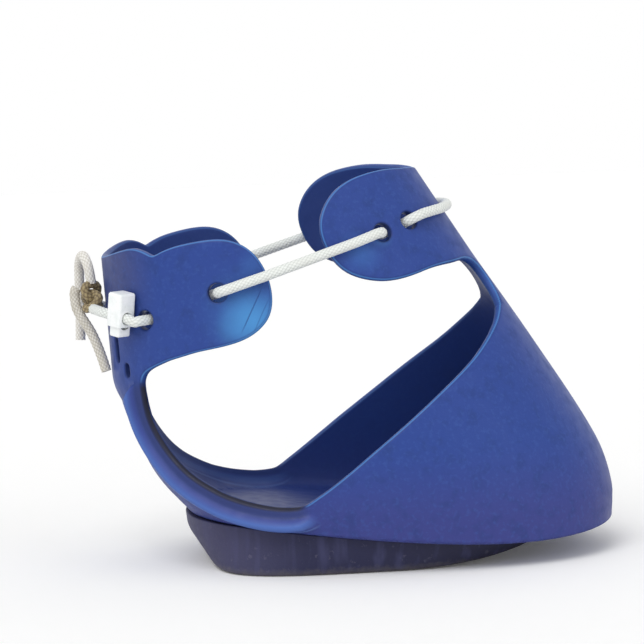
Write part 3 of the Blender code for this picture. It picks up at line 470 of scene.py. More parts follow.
def makeHalfSkin():
    s = moulding
    edge = sampleEdge(freeEdge, s["edgeStep"], s["fine"])
    angle, share, rim = [values[::s["fine"]] for values in edge]
    edgeCount = len(angle)
    border = [(180.0, row) for row in rowsThrough(1.0, 0.0, s["heelRows"], heelNeckEnd[1])[1:]]
    border += [(turn, 0.0) for turn in np.linspace(180, 0, s["footPlaces"])[1:]]
    border += [(0.0, row) for row in rowsThrough(0.0, freeEdge[0][1], s["toeRows"], neckEnd[1])[1:-1]]
    places = [np.stack([angle, share], 1), np.array(border)]
    whole = np.concatenate(places)
    count = len(whole)
    loop, lines, holes = list(range(count)), chainOf(count, 0, True), []
    # the free edge again, close together, to measure from: degrees, share, share of the rim, rounding
    dense = [np.column_stack([*edge, np.full(len(edge[0]), s["edgeRound"])])]
    for drawn, rows, radius, (sides, denseSides) in (
            (ringPlaces, laceHoles, s["laceHoleRadius"], s["holeSides"]),
            (slotPlaces, uprightSlots, s["slotHalfWidth"], s["slotSides"])):
        for row in rows:
            for far in (0, *s["holeRings"]):
                places.append(np.stack(drawn(row, radius + far / 1000, sides), 1))
                ids = list(range(count, count + len(places[-1])))
                if far == 0:
                    lines += chainOf(len(ids), count, True)
                    holes.append(ids)
                count += len(ids)
            near = np.stack(drawn(row, radius, denseSides), 1)
            dense.append(np.column_stack([near, np.full((len(near), 2), (0, s["holeRound"]))]))
    dense = np.concatenate(dense)
    edgeTree = treeOf(skinPoints(*dense[:, :2].T))

    def find(turn, height):
        return int(np.argmin(abs(whole[:, 0] - turn) + 100 * abs(whole[:, 1] - height)))

    # where the pieces meet, at the necks and the wings' bends; at a free edge a seam has the edge's own rings
    plainRings, allRings = s["edgeRings"], s["edgeRings"] + s["rimRings"]
    seamPlaces = []
    for low, high, lowRings, highRings in (
            ((0.0, neckEnd[1]), neckEnd, [], plainRings),
            (heelNeckEnd, (180.0, heelNeckEnd[1]), allRings, []),
            (*wingEnds, plainRings, plainRings), (*heelWingEnds, plainRings, plainRings)):
        ends = skinPoints(*np.array([low, high]).T)
        reach = np.linalg.norm(ends[1] - ends[0]) * 1000
        first, last = max(lowRings + [0.0]) + s["seamClear"], reach - max(highRings + [0.0]) - s["seamClear"]
        middle = np.linspace(first, last, max(2, int((last - first) / s["seamStep"])))
        part = np.concatenate([lowRings, middle, reach - np.array(highRings[::-1])])[:, None] / reach
        seamPlaces.append(np.array(low) * (1 - part) + np.array(high) * part)
        run = [find(*low), *range(count, count + len(part)), find(*high)]
        lines += list(zip(run[:-1], run[1:]))
        count += len(part)
    seamTree = treeOf(skinPoints(*np.concatenate(seamPlaces).T))

    # rings that follow the free edge
    inward = unit(np.cross(np.gradient(skinPoints(angle, share), axis=0), skinNormals(angle, share)))
    added = []
    for far in allRings:
        use = np.ones(edgeCount, bool) if far < s["plainReach"] else rim > s["rimStarts"]
        use[0] = use[-1] = False
        turn, height = moveOnSkin(angle[use], share[use], inward[use] * far / 1000)
        distance, index = nearest(edgeTree, skinPoints(turn, height))
        fromSeam, index = nearest(seamTree, skinPoints(turn, height))
        ok = (np.abs(turn - 90) < 90 - s["ringFromMiddle"]) & (height > s["ringFromFoot"])
        ok &= (distance > far / 1000 * s["ringFromEdge"]) & (fromSeam > s["ringFromSeam"])
        added.append(np.stack([turn[ok], height[ok]], 1))
        if far < s["plainReach"]:  # the same rings where they meet the middle line
            for turn, height, _ in (freeEdge[0], freeEdge[-1]):
                down = -unit(skinUp(turn, height))
                added.append([(turn, moveOnSkin(turn, height, down * far / 1000)[1][0])])
    # rows that follow the foot, close together for its rounding and the fillet inside
    turns = np.linspace(0, 180, s["footRingPlaces"])
    for far in s["footRings"]:
        height = far / 1000 / np.linalg.norm(skinUp(turns, 0.0), axis=1)
        ok = nearest(edgeTree, skinPoints(turns, height))[0] > s["footFromEdge"]
        added.append(np.stack([turns[ok], height[ok]], 1))
    kept = np.concatenate(places + seamPlaces + added)

    # the rest of the sheet
    grid = hexGrid((0, 0), (arcLengths[-1], unrolledHeight * 1.05), s["meshStep"])
    turn, height = rollUp(grid[insidePolygon(grid, unroll(*kept[loop].T))])
    ok = (np.abs(turn - 90) < 90 - s["gridFromMiddle"]) & (height > s["gridFromFoot"])
    turn, height = turn[ok], height[ok]
    distance, index = nearest(edgeTree, skinPoints(turn, height))
    limit = np.where(dense[index, 2] > s["rimStarts"], s["gridFromRim"], s["gridFromEdge"])
    ok = distance > np.where(dense[index, 3] == s["holeRound"], s["gridFromHole"], limit)
    for hole in holes:
        ok &= ~insidePolygon(unroll(turn, height), unroll(*kept[hole].T))
    far, index = nearest(treeOf(skinPoints(*kept.T)), skinPoints(turn, height))
    ok &= far > s["meshStep"] * s["gridApart"]
    kept = np.concatenate([kept, np.stack([turn[ok], height[ok]], 1)])

    faces = triangulate(unroll(*kept.T), loop, lines, holes)
    distance, index = nearest(edgeTree, skinPoints(*kept.T))
    distance[[*range(edgeCount), *sum(holes, [])]] = 0
    return kept, faces, distance, dense[index, 2], dense[index, 3]


def dropNear(distance, radius):
    near = np.minimum(distance, radius)
    return radius - np.sqrt(np.maximum(0, radius**2 - (radius - near) ** 2))


def makeSkinShape(kept, distance, rim, rounding):
    s = moulding
    angle, share = kept.T
    rise = np.linalg.norm(skinUp(angle, 0.0), axis=1)
    normal = skinNormals(angle, share)
    rolled = rim * rim * (3 - 2 * rim)
    plain = -dropNear(distance, rounding)
    bead = np.interp(distance, rimSection[:, 0], rimSection[:, 1])
    foot = dropNear(share * rise, s["footRound"])
    outer = skinPoints(angle, share) + normal * ((1 - rolled) * plain + rolled * bead - foot)[:, None]
    onFoot = share < 1e-9
    outer[onFoot, 2] = floorHeight(outer[onFoot, 0])
    # inner face: it starts a wall's depth above the foot, or less under the rim, and turns into the floor
    rows = np.array([row for row in freeEdge if row[0] > 92 and row[1] < 0.3])
    top = np.minimum(s["innerTop"], np.interp(angle, rows[:, 0], rows[:, 1], left=s["innerTop"]))
    start = s["wall"] / rise
    lifted = np.where(share < top, start + share * (1 - start / top), share)
    above = (lifted - start) * rise
    depth = s["wall"] + dropNear(above, s["floorFillet"])
    depth = depth - dropNear(distance, s["innerRound"] * rounding / s["edgeRound"])
    inner = skinPoints(angle, lifted) - skinNormals(angle, lifted) * depth[:, None]
    level = np.clip(1 - above / s["floorFillet"], 0, 1) ** 2
    inner[:, 2] += level * (floorHeight(inner[:, 0]) + s["wall"] - inner[:, 2])
    middle = (angle < 1e-9) | (angle > 180 - 1e-9)
    outer[middle, 1] = inner[middle, 1] = 0
    return outer, inner, rolled, middle


def shadingNormals(points, faces):
    normals = np.zeros_like(points)
    for size in (3, 4):
        group = np.array([face for face in faces if len(face) == size])
        corner = [points[group[:, k]] for k in range(size)]
        last = size - 3
        weight = np.cross(corner[1 + last] - corner[0], corner[2 + last] - corner[last])
        length = np.linalg.norm(weight, axis=1, keepdims=True)
        for k in range(size):
            before, after = corner[k - 1] - corner[k], corner[(k + 1) % size] - corner[k]
            lengths = np.linalg.norm(before, axis=1) * np.linalg.norm(after, axis=1)
            turn = np.arccos(np.clip((before * after).sum(1) / np.maximum(1e-12, lengths), -1, 1))
            np.add.at(normals, group[:, k], weight / np.maximum(length, 1e-15) * turn[:, None])
    return normals / np.maximum(1e-12, np.linalg.norm(normals, axis=1, keepdims=True))


def makeMoulding():
    s = moulding
    kept, faces, distance, rim, rounding = makeHalfSkin()
    outer, inner, rolled, middle = makeSkinShape(kept, distance, rim, rounding)
    print("moulding sheet:", len(kept), "places on one side")
    off = np.where(~middle)[0]
    mirrorOf = np.arange(len(kept))
    mirrorOf[off] = len(kept) + np.arange(len(off))
    total = len(kept) + len(off)

    def both(values, flip=None):
        other = values[off].copy()
        if flip is not None:
            other[:, flip] *= -1
        return np.concatenate([values, other])

    # angles grow to the left side, +Y, and the right side is its mirror
    angle, share = kept[faces].mean(1).T
    names = np.where(share > neckEnd[1], "tongue", "shell").astype(object)
    names[(angle > s["strapFrom"]) & (share > heelNeckEnd[1])] = "strap"
    above = share > s["wingsAbove"]
    names[(angle > wingEnds[0][0]) & (angle < s["wingsMeet"]) & above] = "frontWing"
    names[(angle < heelWingEnds[0][0]) & (angle >= s["wingsMeet"]) & above] = "heelWing"
    labels = [name + side if "Wing" in name else name for side in ("Left", "Right") for name in names]
    sheet = np.concatenate([faces[:, ::-1], mirrorOf[faces]])
    outer, inner = both(outer, 1), both(inner, 1)
    # which way round the faces run
    a, b, c = [outer[sheet[:, k]] for k in range(3)]
    facing = (np.cross(b - a, c - a) * both(skinNormals(*kept.T), 1)[sheet[:, 0]]).sum(1)
    if np.median(facing) < 0:
        sheet = sheet[:, ::-1]
    outside = list(zip(sheet.tolist(), labels))
    allFaces = outside + [(tuple(k + total for k in face[::-1]), label) for face, label in outside]

    # edges of the sheet get its thickness, and where two pieces meet each gets a face of its own
    onFoot = both(kept[:, 1] < 1e-9)
    used = {(face[k], face[(k + 1) % 3]): label for face, label in outside for k in range(3)}
    seamFaces = {label: [] for label in labels}
    for (i, j), label in used.items():
        other = used.get((j, i))
        if other is None and not (onFoot[i] and onFoot[j]):
            allFaces.append(((j, i, i + total, j + total), label))
        elif other is not None and other != label:
            seamFaces[label].append((j, i, i + total, j + total))
    # the two faces of the floor, inside the ring of the foot
    points, count = [outer, inner], 2 * total
    ring = np.where(kept[:, 1] < 1e-9)[0]
    ring = ring[np.argsort(kept[ring, 0])]
    ring = np.concatenate([ring, mirrorOf[ring[::-1]][1:-1]])
    for face, first, lift in ((inner, total, s["wall"]), (outer, 0, 0.0)):
        flat, floorFaces = fillOutline([face[ring, :2]], s["floorStep"])
        table = np.concatenate([ring + first, count + np.arange(len(flat))])
        for ids in table[floorFaces].tolist():
            allFaces.append((tuple(ids if lift else ids[::-1]), "shell"))
        points.append(np.column_stack([flat, floorHeight(flat[:, 0]) + lift]))
        count += len(flat)
    points = np.concatenate(points)

    data = {"edgeGap": both(distance) * 1000, "rolled": both(rolled),
            "atHole": both((rounding == s["holeRound"]).astype(float)),
            "sheet": both(np.column_stack([unroll(*kept.T), np.zeros(len(kept))]), 0)}
    for key, values in data.items():  # the floor lies far from any edge
        floor = np.full((count - 2 * total, *values.shape[1:]), 30.0 if key == "edgeGap" else 0.0)
        data[key] = np.concatenate([values, values, floor])
    data["inside"] = np.concatenate([np.zeros(total), np.ones(count - total)])
    data["place"] = points
    # shading normals of the whole moulding, so that no seam shows between its pieces
    normals = shadingNormals(points, [face for face, label in allFaces])
    pieces = {}
    for label in sorted(set(labels)):
        smooth = [face for face, name in allFaces if name == label]
        pieces[label] = makePiece(label, points, smooth + seamFaces[label], len(smooth), normals, data)
    return pieces


def makePiece(name, points, faces, smoothCount, normals, data):
    used = np.unique(np.concatenate([np.array(face) for face in faces]))
    table = np.full(len(points), -1)
    table[used] = np.arange(len(used))
    mesh = meshFrom(name, points[used], [table[list(face)] for face in faces])
    for key, values in data.items():
        storeValues(mesh, key, values[used])
    mesh.shade_smooth()
    corners = []
    for i, face in enumerate(faces):
        if i < smoothCount:
            corners += [tuple(normals[k]) for k in face]
        else:
            a, b, c = points[list(face[:3])]
            flat = np.cross(b - a, c - a)
            corners += [tuple(flat / max(1e-15, np.linalg.norm(flat)))] * len(face)
    mesh.normals_split_custom_set(corners)
    return addObject(name, mesh)


pieces = makeMoulding()
print("moulding:", {name: len(piece.data.polygons) for name, piece in pieces.items()})


def stationPlane(share):
    heelX, heelZ, toeX, toeZ = stationValues(share)[0][:4]
    return Vector((heelZ - toeZ, 0, toeX - heelX)).normalized()


def bendLine(angle, low, high):
    bottom, top = skin(angle, low), skin(angle, high)
    across = Vector(skinAcross(angle, (low + high) / 2)[0])
    along = (top - bottom).normalized()
    return (bottom + top) / 2, (across - along * across.dot(along)).normalized()


# Where each soft place bends: bodies on both sides, start of the bend and its end
softBend = {"neck": 0.016, "strap": 0.013, "wing": 0.016}  # length of the part that gives
bends = {}
for name, body, angle, share, length in (
        ("tongue", "front_tongue", 0, neckEnd[1], softBend["neck"]),
        ("strap", "heel_strap", 180, heelNeckEnd[1], softBend["strap"])):
    place = skin(angle, share)
    bends[name] = ("root", body, place, place + stationPlane(share) * length)
for name, side in (("Right", -1), ("Left", 1)):
    for wing, strap, body, ends, along in (("frontWing", "front_tongue", "front_wing_", wingEnds, side),
                                           ("heelWing", "heel_strap", "heel_wing_", heelWingEnds, -side)):
        (angle, low), (angle, high) = ends
        middle, across = bendLine(side * angle, low, high)
        bends[wing + name] = (strap, body + name.lower(), middle, middle + across * along * softBend["wing"])

for name, node in (("shell", "boot_shell"), ("tongue", "front_tongue"), ("strap", "heel_strap"),
                   ("frontWingRight", "front_wing_right"), ("frontWingLeft", "front_wing_left"),
                   ("heelWingRight", "heel_wing_right"), ("heelWingLeft", "heel_wing_left")):
    dressPiece(pieces[name], bends.get(name, "root"), node)


# Soft PVC, injection moulded and left satin. An even deep blue that turns purple low down, faint mottling,
# painted highlights along the edges, on the rim's bead and on the wings, and painted shade beside the edges,
# in the creases, round the holes, on the rim's lip and inside.
# the darkest colour, at the rim's inner edge and round the holes, is painted shadow; the inside, lip and
# beside-edge colours are painted shade; the bead, bead-side, bead-foot and edge colours are painted
# highlights
pvcFinish = {"blue": "#27428d", "low": "#3b3d80", "heelTop": "#424872", "mottleDark": "#213873",
             "mottleLight": "#3c5ca4", "inside": "#233a78", "lip": "#2d3a70", "beadSide": "#3b4a92",
             "bead": "#4b6ab2", "beadFootHighlight": "#6d8acb", "edge": "#4d86c8", "shadeLine": "#1d3270",
             "paintedShadow": "#17182a", "peelDepth": 0.00005, "insideShadeShare": 0.7,
             "noises": [(5.0, 3.0), (1.6, 2.0), (22.0, 2.0), (0.9, 1.0)],  # mm and detail, in order of use
             "creaseWidth": 0.00028, "creaseWander": 0.0022, "creaseOffset": 0.0011, "creaseStart": 0.004,
             "creaseEnd": 0.005, "creaseDepth": -3.0, "edgeReach": 11.0}  # edgeReach in mm
fades = [  # axis, start, full, strength: purple low down, and greyer at the top of the heel
    ("Z", 0.052, 0.014, 0.75), ("X", -0.066, -0.082, 1.0), ("Z", 0.085, 0.118, 0.7)]
wingHighlights = [  # degrees, share, radius in mm, strength, colour: pale patches on the wings, painted highlights
    (102.5, 0.705, 24, 0.55, "#3d72b4"), (102.0, 0.655, 17, 0.85, "#4a92d0"),
    (98.0, 0.850, 9, 0.25, "#3d70b4"), (66.5, 0.765, 12, 0.50, "#3f72be"), (57.5, 0.790, 6, 0.50, "#4580c0")]
creases = [  # degrees and share at both ends, strength: folds that the wings keep, bumped and painted with a dark line of shade
    (97.0, 0.765, 106.5, 0.625, 0.55), (95.8, 0.720, 103.5, 0.610, 0.30)]
# colours by their share of edgeReach from an edge, with their strength: a painted highlight along the edge
# with a line of painted shade beside it, painted shadow round the holes, and on the rim a painted shadow at
# its inner edge, painted shade on its lip and painted highlights on its bead and foot
edgeStops = {
    "plain": [(0.0, "edge", 0.10), (0.012, "edge", 0.20), (0.028, "edge", 0.75), (0.048, "edge", 0.60),
              (0.070, "shadeLine", 0.40), (0.13, "shadeLine", 0.0), (1.0, "shadeLine", 0.0)],
    "hole": [(0.0, "paintedShadow", 0.55), (0.03, "shadeLine", 0.60), (0.09, "shadeLine", 0.0),
             (1.0, "shadeLine", 0.0)],
    "rim": [(0.0, "paintedShadow", 1.0), (0.05, "paintedShadow", 0.9), (0.11, "lip", 0.9), (0.29, "lip", 0.85),
            (0.37, "beadSide", 0.8), (0.48, "bead", 0.95), (0.66, "bead", 0.90), (0.78, "beadSide", 0.8),
            (0.83, "beadFootHighlight", 0.75), (0.87, "beadFootHighlight", 0.5), (0.91, "shadeLine", 0.4),
            (1.0, "shadeLine", 0.0)]}


def makeMouldedPvc():
    made, tree, shader = startMaterial("softPvcSatinMoulded", 0.45, 1.53)
    shader.inputs["Specular IOR Level"].default_value = 0.25  # bloomed plasticiser takes off the shine
    f = pvcFinish
    place, sheet = [addNode(tree, "Attribute", out="Vector", attribute_name=name)
                    for name in ("place", "sheet")]
    gap, rolled, inside, atHole = [addNode(tree, "Attribute", out="Fac", attribute_name=name)
                                   for name in ("edgeGap", "rolled", "inside", "atHole")]
    axes = addNode(tree, "SeparateXYZ", {0: place}, None).outputs
    bothSides = addNode(tree, "VectorMath", {0: sheet}, operation="ABSOLUTE")
    mottle, fineMottle, broad, peel = [
        addNode(tree, "TexNoise", {"Vector": place, "Scale": 1000 / size, "Detail": detail})
        for size, detail in f["noises"]]
    lowWall, heelward, upward = [
        addNode(tree, "MapRange", {0: axes[axis], 1: start, 2: full, 3: 0.0, 4: most},
                interpolation_type="SMOOTHSTEP") for axis, start, full, most in fades]
    heelTop = addNode(tree, "Math", {0: heelward, 1: upward}, operation="MULTIPLY")
    dark = addNode(tree, "MapRange", {0: mottle, 1: 0.50, 2: 0.70, 3: 0.0, 4: 0.40})
    light = addNode(tree, "MapRange", {0: fineMottle, 1: 0.52, 2: 0.72, 3: 0.0, 4: 0.26})
    # where each colour lies, from the lowest layer up
    layers = [(lowWall, f["low"]), (heelTop, f["heelTop"]), (dark, f["mottleDark"]),
              (light, f["mottleLight"])]
    # each pale patch on a wing is a painted highlight
    for degrees, share, radius, strength, shade in wingHighlights:
        u, v = unroll(degrees, share)
        far = addNode(tree, "VectorMath", {0: bothSides, 1: (u, v, 0)}, "Value", operation="DISTANCE")
        ragged = addNode(tree, "Math", {0: broad, 1: radius * 6e-4, 2: far}, operation="MULTIPLY_ADD")
        where = {0: ragged, 1: radius * 1.3e-3, 2: radius * 0.3e-3, 3: 0.0, 4: strength}
        layers.append((addNode(tree, "MapRange", where, interpolation_type="SMOOTHSTEP"), shade))
    grooves = []
    for startDegrees, startShare, endDegrees, endShare, strength in creases:
        start = unroll(startDegrees, startShare)
        u, v = unroll(endDegrees, endShare) - start
        length = math.hypot(u, v)
        turned = addNode(tree, "Mapping", {0: bothSides, 1: (*start, 0), 2: (0, 0, math.atan2(v, u))},
                         vector_type="TEXTURE")
        along, aside = [addNode(tree, "SeparateXYZ", {0: turned}, axis) for axis in "XY"]
        wander = addNode(tree, "Math", {0: broad, 1: f["creaseWander"], 2: aside}, operation="MULTIPLY_ADD")
        onLine = addNode(tree, "Math", {0: wander, 1: f["creaseOffset"], 2: f["creaseWidth"]},
                         operation="COMPARE")
        begun = addNode(tree, "MapRange", {0: along, 1: 0.0, 2: f["creaseStart"], 3: 0.0, 4: strength})
        ended = addNode(tree, "MapRange", {0: along, 1: length, 2: length - f["creaseEnd"]})
        kept = addNode(tree, "Math", {0: begun, 1: ended}, operation="MULTIPLY")
        grooves.append(addNode(tree, "Math", {0: onLine, 1: kept}, operation="MULTIPLY"))
        # each crease is painted with the dark line of painted shade
        layers.append((grooves[-1], f["shadeLine"]))
    colour = tuple(toLinear(f["blue"]))
    for where, shade in layers:
        colour = addNode(tree, "Mix", {0: where, 6: colour, 7: toLinear(shade)}, 2, data_type="RGBA")

    reach = addNode(tree, "MapRange", {0: gap, 1: 0.0, 2: f["edgeReach"]})
    special = addNode(tree, "Math", {0: rolled, 1: atHole}, operation="MAXIMUM")
    plain = addNode(tree, "MapRange", {0: special, 1: 0.0, 2: 0.5, 3: 1.0, 4: 0.0})
    # painted highlights and painted shade along the plain edges, round the holes and across the rim
    for stops, share in zip(edgeStops.values(), (plain, atHole, rolled)):
        ramp = addNode(tree, "ValToRGB", {0: reach}, None)
        while len(ramp.color_ramp.elements) < len(stops):
            ramp.color_ramp.elements.new(1.0)
        for element, (position, shade, alpha) in zip(ramp.color_ramp.elements, stops):
            element.position = position
            element.color = (*toLinear(f[shade])[:3], alpha)
        where = addNode(tree, "Math", {0: ramp.outputs["Alpha"], 1: share}, operation="MULTIPLY")
        colour = addNode(tree, "Mix", {0: where, 6: colour, 7: ramp.outputs["Color"]}, 2, data_type="RGBA")
    # the inner face is painted darker: painted shade
    colour = layColours(tree, colour, [(inside, 0.3, 0.8, f["insideShadeShare"], f["inside"])])
    relief = addNode(tree, "Math", {0: mottle, 1: 1.4, 2: peel}, operation="MULTIPLY_ADD")
    for groove in grooves:
        relief = addNode(tree, "Math", {0: groove, 1: f["creaseDepth"], 2: relief}, operation="MULTIPLY_ADD")
    linkFinish(tree, shader, colour, (mottle, 0.3, 0.7, 0.40, 0.54), relief, 0.6, f["peelDepth"])
    return made


pvc = makeMouldedPvc()
for piece in pieces.values():
    piece.data.materials.append(pvc)


# The lace: one round braided cord from the knot through all four wings and back, with two tails
lace = {"radius": 0.0020, "clearance": 0.0004, "bend": 0.0045, "strands": 8, "turnLength": 0.0150,
        "relief": 0.00022, "ringStep": 0.00030, "sides": 48, "tipLength": 0.0022, "routeStep": 0.0007,
        "endWeave": 0.3, "spanCuts": [0, 0.13, 0.58, 0.87, 1]}
strapHole, heelHole, wingHole, tongueHole = laceHoles
lock = {"length": 0.0076, "depth": 0.0084, "height": 0.0132, "wall": 0.0009, "roof": 0.0012,
        "boreRadius": 0.0023, "boreHeight": 0.0034, "clearance": 0.0002, "standOff": 0.0009, "slide": 0.0060,
        "travel": 0.0024, "stickOut": 0.0040, "crown": 0.0010, "straightBefore": 0.0006,
        "straightPast": 0.0003, "sideRound": 0.0013, "topRound": 0.0010, "footRound": 0.0003,
        "insideRound": 0.0005, "plungerRound": 0.0007, "boreFlare": 0.0005, "windowFlare": 0.0002,
        "cutBeyond": 0.004, "place": (149.8, 0.790), "strand": [(144.0, 0.776), (155.0, 0.806)]}
knot = {"wire": 0.0017, "cordRadius": 0.0016, "size": 0.00185, "depth": 0.0026, "standOff": 0.0010,
        "place": (180.0, 0.860), "exit": (0.0069, -0.0038), "strands": 5, "turnLength": 0.0110, "steps": 240}
outerTail = [
    (0, 0.0058, -0.0003), (0, 0.0076, -0.0002), (-0.0002, 0.0100, 0.0), (-0.0010, 0.0128, 0.0004),
    (-0.0030, 0.0152, 0.0010), (-0.0058, 0.0166, 0.0018), (-0.0090, 0.0160, 0.0026),
    (-0.0118, 0.0138, 0.0033), (-0.0136, 0.0104, 0.0037), (-0.0142, 0.0060, 0.0040),
    (-0.0143, 0.0010, 0.0043), (-0.0142, -0.0050, 0.0047), (-0.0140, -0.0110, 0.0052),
    (-0.0138, -0.0175, 0.0058)]
innerTail = [
    (0, 0.0046, 0.0056), (0, 0.0030, 0.0066), (0, 0.0, 0.0067), (0.0003, -0.0032, 0.0064),
    (0.0008, -0.0064, 0.0052), (0.0016, -0.0098, 0.0034), (0.0026, -0.0134, 0.0016),
    (0.0038, -0.0172, 0.0002), (0.0050, -0.0212, -0.0010), (0.0060, -0.0252, -0.0020),
    (0.0068, -0.0288, -0.0028)]
laceOver = lace["radius"] + lace["clearance"]
laceUnder = -(moulding["wall"] + laceOver)


def onSkin(places, side, out):
    return [skin(side * angle, share, out) for angle, share in places]


def crossing(hole, side, inward):
    angle, share = hole
    full = math.acos(1 - (laceOver - laceUnder) / (2 * lace["bend"]))
    points = []
    for part in (0, 0.4, 0.75, 1, 1.25, 1.6, 2):
        turn = full * min(part, 2 - part)
        run = lace["bend"] * (math.sin(full) - math.sin(turn))
        drop = lace["bend"] * (1 - math.cos(turn))
        level = laceOver - drop if part <= 1 else laceUnder + drop
        if not inward:
            level = laceOver + laceUnder - level
        place = angle - degreesOf(-run if part < 1 else run, angle, share)
        points.append(skin(side * place, share, level))
    return points


def smoothRoute(route, step):
    run = [2 * route[0] - route[1], *route, 2 * route[-1] - route[-2]]
    points = [route[0]]
    for a, b, c, d in zip(run, run[1:], run[2:], run[3:]):
        steps = max(1, round((c - b).length / step))
        for u in [(i + 1) / steps for i in range(steps)]:
            points.append(0.5 * (2 * b + (c - a) * u + (2 * a - 5 * b + 4 * c - d) * u**2
                                 + (3 * b - a - 3 * c + d) * u**3))
    return points


def lockFrame():
    out = lock["depth"] / 2 + lock["standOff"]
    ends = onSkin(lock["strand"], -1, out)
    return frameAt(skin(-lock["place"][0], lock["place"][1], out), ends[0] - ends[1], Vector((0, 0, 1)))


def knotFrame():
    place = skin(*knot["place"], knot["depth"] + knot["cordRadius"] + knot["standOff"])
    return frameAt(place, Vector(skinNormals(*knot["place"])[0]), Vector(skinUp(*knot["place"])[0]))


def laceRoute():
    bore, knotAt = lockFrame(), knotFrame()
    # the strand's way from the lock into the first hole: distance from its middle, height outside the skin
    entry = [(0.0016, 0.0047), (0.0003, 0.0034), (-0.0002, 0.0016), (-0.0004, -0.0006), (-0.0007, -0.0030),
             (-0.0017, -0.0051)]
    angle, share = strapHole
    start = knotAt @ Vector((*knot["exit"], 0))
    back = lock["length"] / 2 + lock["slide"] + lock["straightBefore"]
    ahead = lock["length"] / 2 + lock["straightPast"]
    straight = [bore @ Vector((0, 0, z)) for z in (-back, -back / 2, 0, ahead)]
    rightBack = [start, start + (straight[0] - start) / 3, *straight]
    rightBack += [skin(-(angle + degreesOf(run, angle, share)), share, out) for run, out in entry]
    rightBack += onSkin([(angle - degreesOf(0.0041, angle, share), share), (134.2, 0.766)], -1, laceUnder)
    leftBack = [knotAt @ Vector((-knot["exit"][0], knot["exit"][1], 0))]
    leftBack += onSkin([(168.0, 0.818), (160.0, 0.798), (152.5, 0.782)], 1, laceOver)
    leftBack += crossing(strapHole, 1, True) + onSkin([(134.2, 0.766)], 1, laceUnder)
    sides = []
    for side in (-1, 1):
        run = onSkin([(133.0, 0.767), (129.5, 0.770), (123.5, 0.777)], side, laceUnder)
        run += crossing(heelHole, side, False)
        run += onSkin([(100.0, 0.792), (97.0, 0.793), (94.6, 0.794), (76.9, 0.802), (72.5, 0.803),
                       (67.0, 0.804)], side, laceOver)
        run += crossing(wingHole, side, True) + crossing(tongueHole, side, False)
        run += onSkin([(34.0, 0.812), (27.0, 0.806), (20.0, 0.800), (10.0, 0.796)], side, laceOver)
        sides.append(run)
    return rightBack + sides[0] + onSkin([(0.0, 0.795)], 1, laceOver) + sides[1][::-1] + leftBack[::-1]


# Two sets of yarns wind round the cord against each other, and where they cross one lies on top.
# Each row gives a result, its operation and what it works on, in turns of the yarn or parts of a height.
braidSteps = [
    ("turns", "MULTIPLY", "around", "strands"),
    ("laidTurns", "DIVIDE", "along", "turnLength"),
    ("laid", "MULTIPLY", "laidTurns", "strands"),
    ("leftHand", "ADD", "turns", "laid"),
    ("rightHand", "SUBTRACT", "turns", "laid"),
    ("leftPart", "FRACT", "leftHand"),
    ("leftAngle", "MULTIPLY", "leftPart", math.pi),
    ("leftArc", "SINE", "leftAngle"),
    ("rightPart", "FRACT", "rightHand"),
    ("rightAngle", "MULTIPLY", "rightPart", math.pi),
    ("rightArc", "SINE", "rightAngle"),
    ("leftCell", "FLOOR", "leftHand"),
    ("rightCell", "FLOOR", "rightHand"),
    ("cells", "ADD", "leftCell", "rightCell"),
    ("oddCell", "MODULO", "cells", 2.0),
    ("leftOnTop", "ABSOLUTE", "oddCell"),
    ("rightOnTop", "SUBTRACT", 1.0, "leftOnTop"),
    ("leftWidth", "MULTIPLY", "leftArc", "leftOnTop"),
    ("width", "MULTIPLY_ADD", "rightArc", "rightOnTop", "leftWidth"),
    ("rightArch", "MULTIPLY", "rightArc", "leftOnTop"),
    ("arch", "MULTIPLY_ADD", "leftArc", "rightOnTop", "rightArch"),
    ("crown", "POWER", "width", 0.55),
    ("raised", "MULTIPLY_ADD", "arch", 0.45, 0.55),
    ("height", "MULTIPLY", "crown", "raised"),
    ("aboveMiddle", "SUBTRACT", "height", 0.8),
    ("lift", "MULTIPLY", "aboveMiddle", "relief")]
tipSteps = [  # the cut end is melted round
    ("left", "SUBTRACT", "whole", "run"),
    ("leftShare", "DIVIDE", "left", "tipLength"),
    ("leftCapped", "MINIMUM", "leftShare", 1.0),
    ("short", "SUBTRACT", 1.0, "leftCapped"),
    ("shortSquared", "MULTIPLY", "short", "short"),
    ("roundSquared", "SUBTRACT", 1.0, "shortSquared"),
    ("roundCapped", "MAXIMUM", "roundSquared", 0.004),
    ("tip", "SQRT", "roundCapped")]


